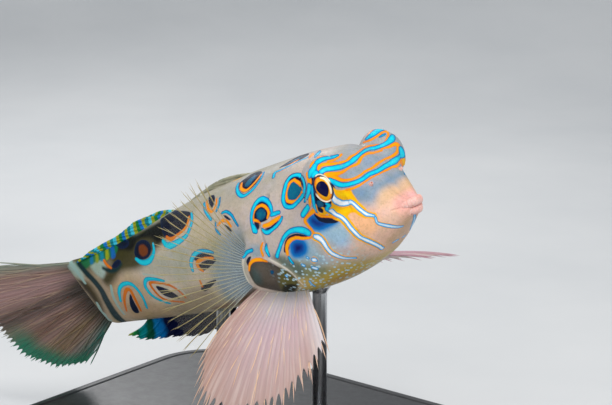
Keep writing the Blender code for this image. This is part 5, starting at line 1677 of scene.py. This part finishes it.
def build_median_fins():
    green, olive = linear(12, 122, 62), linear(150, 158, 28)
    teal, blue, cyan = linear(0, 128, 140), linear(8, 116, 196), linear(60, 190, 216)
    first, anal = dotted_look(), anal_look()
    second = striped_look("second_dorsal_skin", (teal, olive, blue, green, olive, cyan), 4.0, 2.2,
                          linear(6, 100, 52))
    for name, fin, look, rays in (
            ("dorsal_fin_first", median_fin(*DORSAL_FIRST, SHORT_OUTLINE, BACK, 1), first, 4),
            ("dorsal_fin_second",
             median_fin(*DORSAL_SECOND, FULL_OUTLINE, BACK, 1, SECOND_SETTLED), second, 9),
            ("anal_fin", median_fin(*ANAL, FULL_OUTLINE, BELLY, -1), anal, 8)):
        build_web(name + "_web", fin, look.material, (name,), rays=rays, notch=0.10,
                  half=0.13, pleat=0.0, rows=30, each=12, reach=0.98)
        lines = branched(np.linspace(0, 1, rays), spread=0.5 / rays, splits=(0.45,),
                         tips=(0.99, 1.04), radius=0.27, thin=0.12, steps=26)
        build_rays(name + "_rays", fin, look.material, lines, sides=8)


# Nostril tubes and the stand's trim, in millimetres
NOSTRIL_RADIUS, NOSTRIL_HEIGHT, NOSTRIL_WALL = 0.18, 0.26, 0.07
COLLAR_RADIUS, COLLAR_HEIGHT, CUP_RADIUS = 2.0, 1.1, 1.25
# Rings of the base: how far in and how high at its foot, how far past its rounded edge and how
# deep at its groove, and how far in on its flat top
BASE_FOOT = ((0.5, 0.0), (0.12, 0.12), (0, 0.5))
BASE_GROOVE = ((0.6, 0), (0.8, 0.12), (1.1, 0.12), (1.3, 0))
BASE_FLAT, CREASE_ANGLE = 8.5, 30
ROD_SUNK, CUP_GAP = 0.3, 0.25
TURNED_SIDES, NOSTRIL_SIDES = 48, 28
# Floor: where it starts and ends towards the backdrop, its curve, and how high and wide it is
FLOOR_NEAR, FLOOR_FAR, FLOOR_CURVE, BACKDROP_TOP, FLOOR_HALF = -600, 200, 260, 900, 900
# Soft lights: place from the fish towards the camera, to its right and up, size, watts, colour
LIGHTS = {
    "key_light": ((160, 60, 190), 140, 0.46, (1, 0.98, 0.95)),
    "fill_light": ((200, -190, 20), 220, 0.18, (0.95, 0.98, 1)),
    "rim_light": ((-170, -60, 160), 120, 0.12, (1, 1, 1)),
}
WORLD_COLOUR, WORLD_STRENGTH = (0.86, 0.9, 0.94, 1), 0.54


def skin_place(d, degrees, side):
    """A straight place on the skin and the direction out of it there."""
    angle = math.radians(degrees if side > 0 else 180 - degrees)

    def at(d, angle):
        y, z = section(np.array(d), np.array(angle))
        return np.array([-d, float(y), float(z)])
    step = 0.01
    here = at(d, angle)
    out = np.cross(at(d, angle + step) - here, here - at(d + step, angle))
    out /= np.linalg.norm(out)
    return here, out if np.dot(out, here + [d, 0, 0]) > 0 else -out


def turned_piece(name, centre, axis, profile, sides, look, carry, replaced=()):
    """A turned shape from (radius, height) pairs along an axis, closed at its first and last."""
    axis = np.asarray(axis, float) / np.linalg.norm(axis)
    one = np.cross(axis, (0.3, 0.2, 0.9) if abs(axis[2]) < 0.9 else (1.0, 0.0, 0.0))
    one /= np.linalg.norm(one)
    two = np.cross(axis, one)
    radius, height = np.array(profile, float).T
    turn = np.linspace(0, 2 * math.pi, sides, endpoint=False)[None, :, None]
    grid = (centre + axis * height[:, None, None]
            + radius[:, None, None] * (np.cos(turn) * one + np.sin(turn) * two))
    ends = np.stack([centre + axis * height[0], centre + axis * height[-1]])
    points = carry(np.concatenate([grid.reshape(-1, 3), ends]))
    make_piece(name, points, capped(len(profile), sides), look, replaced)


def build_nostrils(look):
    for side, name in ((1, "left"), (-1, "right")):
        place, out = skin_place(*NOSTRIL_PLACE, side)
        r, h, w = NOSTRIL_RADIUS, NOSTRIL_HEIGHT, NOSTRIL_WALL
        profile = [(r * 1.5, -0.25), (r * 1.45, 0.0), (r * 1.12, h * 0.35), (r, h * 0.8),
                   (r * 0.94, h), (r - w * 0.55, h + 0.03), (r - w, h), (r - w * 1.1, h * 0.3),
                   (r * 0.4, 0.0)]
        turned_piece("nostril_" + name, place, out, profile, NOSTRIL_SIDES, look,
                     SPINE.bend)


def base_outline(inset, height, count=14):
    """The base's rounded outline, drawn in by inset, at a height."""
    long, wide = BASE_SIZE[0] / 2, BASE_SIZE[1] / 2
    points = []
    for sx, sy, start in ((1, 1, 0), (-1, 1, 90), (-1, -1, 180), (1, -1, 270)):
        for angle in np.radians(np.linspace(start, start + 90, count)):
            points.append((sx * (long - BASE_ROUND) + (BASE_ROUND - inset) * math.cos(angle),
                           sy * (wide - BASE_ROUND) + (BASE_ROUND - inset) * math.sin(angle),
                           height))
    return np.array(points)


def build_stand():
    satin = Look("satin_black_base", roughness=0.34, coat_weight=0.25, coat_roughness=0.25)
    satin.set(base_color=satin.blotched(260, (26, 27, 30), (40, 41, 45), low=0.3, detail=4,
                                        roughness=0.6))
    satin.set(roughness=satin.spread(satin.noise(900, 4, 0.6), 0.3, 0.7, 0.28, 0.42))
    satin.bump(satin.noise(2400, 3), 0.00002, 0.5)
    steel = Look("brushed_steel_rods", metallic=1.0, roughness=0.28)
    brush = steel.noise(900, 3, 0.5, stretch=(6, 6, 0.25))
    steel.set(base_color=steel.mix(brush, linear(168, 170, 174), linear(206, 208, 210)))
    steel.set(roughness=steel.spread(brush, 0.3, 0.7, 0.22, 0.38))
    steel.bump(brush, 0.00001, 0.5)
    edge, tall = BASE_EDGE, BASE_SIZE[2]
    rings = list(BASE_FOOT)
    for angle in np.linspace(0, math.pi / 2, 9):
        rings.append((edge * (1 - math.cos(angle)), tall - edge * (1 - math.sin(angle))))
    rings += [(edge + inset, tall - deep) for inset, deep in BASE_GROOVE]
    rings.append((BASE_FLAT, tall))
    grid = np.array([base_outline(inset, height) for inset, height in rings])
    ends = np.array([[0, 0, 0.0], [0, 0, tall]])
    base = make_piece("stand_base_plinth", np.concatenate([grid.reshape(-1, 3), ends]),
                      capped(len(grid), grid.shape[1]), satin.material,
                      ("stand_base",))
    base.data.set_sharp_from_angle(angle=math.radians(CREASE_ANGLE))
    for name, d in zip(("front", "rear"), ROD_PLACES):
        foot = SPINE.bend(np.array([-d, 0.0, 0.0]))
        y, z = section(np.array(d), np.array(-math.pi / 2))
        top = float(SPINE.bend(np.array([-d, 0.0, float(z)]))[2])
        r, low = ROD_RADIUS, tall - ROD_SUNK
        high = top - low - CUP_GAP
        profile = [(r * 0.3, 0.0), (r, 0.0), (r, high - 1.0), (r * 1.12, high - 0.8),
                   (CUP_RADIUS, high - 0.25), (CUP_RADIUS * 1.03, high), (CUP_RADIUS * 0.85, high),
                   (r * 0.6, high - 0.12)]
        turned_piece("stand_rod_" + name + "_turned", np.array([foot[0], foot[1], low]),
                     (0, 0, 1), profile, TURNED_SIDES, steel.material,
                     lambda p: p, ("stand_rod_" + name,))
        c, h = COLLAR_RADIUS, COLLAR_HEIGHT
        profile = [(r * 1.02, -0.1), (c, -0.1), (c, 0.1), (c * 0.98, 0.22), (c * 0.8, 0.34),
                   (r * 1.5, h * 0.55), (r * 1.25, h), (r * 1.02, h)]
        turned_piece("stand_collar_" + name, np.array([foot[0], foot[1], tall]), (0, 0, 1),
                     profile, TURNED_SIDES, steel.material, lambda p: p)


def build_stage():
    """A pale floor that curves up into a pale backdrop behind the fish."""
    look = Look("pale_floor", roughness=0.75)
    look.set(base_color=look.blotched(24, (214, 216, 218), (224, 225, 226), low=0.3, detail=4))
    look.bump(look.noise(900, 3), 0.00002, 0.2)
    away = np.array([-CAMERA.back[0], -CAMERA.back[1]])
    away /= np.linalg.norm(away)
    side = np.array([-away[1], away[0]])
    profile = [(FLOOR_NEAR, 0), (FLOOR_FAR, 0)]
    for angle in np.radians(np.linspace(5, 90, 18)):
        profile.append((FLOOR_FAR + FLOOR_CURVE * math.sin(angle),
                        FLOOR_CURVE * (1 - math.cos(angle))))
    profile.append((FLOOR_FAR + FLOOR_CURVE, BACKDROP_TOP))
    rows = [[(*(away * ahead + side * wide), up) for wide in (-FLOOR_HALF, FLOOR_HALF)]
            for ahead, up in profile]
    floor = add_mesh("floor_sweep", np.array(rows).reshape(-1, 3),
                     grid_faces(len(rows), 2, closed=False), look.material)


def soft_light(name, place, aim, size, watts, shade):
    data = bpy.data.lights.new(name, "AREA")
    data.shape, data.size, data.energy, data.color = "DISK", size * MM, watts, shade
    made = add_object(name, data)
    place, aim = Vector(place) * MM, Vector(aim) * MM
    made.location = place
    made.rotation_euler = (aim - place).to_track_quat("-Z", "Y").to_euler()


def build_lights():
    aim = SPINE.frame(SPINE_REFERENCE)[0]
    for name, ((back, right, up), size, watts, shade) in LIGHTS.items():
        place = aim + back * CAMERA.back + right * CAMERA.right + up * CAMERA.up
        soft_light(name, place, aim, size, watts, shade)
    world = bpy.data.worlds.new("studio")
    world.use_nodes = True
    sky = world.node_tree.nodes["Background"].inputs
    sky["Color"].default_value, sky["Strength"].default_value = WORLD_COLOUR, WORLD_STRENGTH
    scene = bpy.context.scene
    scene.world = world
    scene.view_settings.view_transform = "Standard"


def main():
    build_skin()
    build_nostrils(nostril_look())
    eye, rim, fields = eye_look(), rim_look(), {}
    build_eye(-1, "right", eye, rim, fields)
    build_eye(1, "left", eye, rim, fields)
    lips = lip_look()
    build_lip("upper_lip", UPPER_LIP, lips, 0.0)
    build_lip("lower_lip", LOWER_LIP, lips, 2.0)
    build_pelvics()
    build_pectorals()
    build_caudal()
    build_median_fins()
    build_stand()
    build_stage()
    build_lights()
    CAMERA.build()


main()
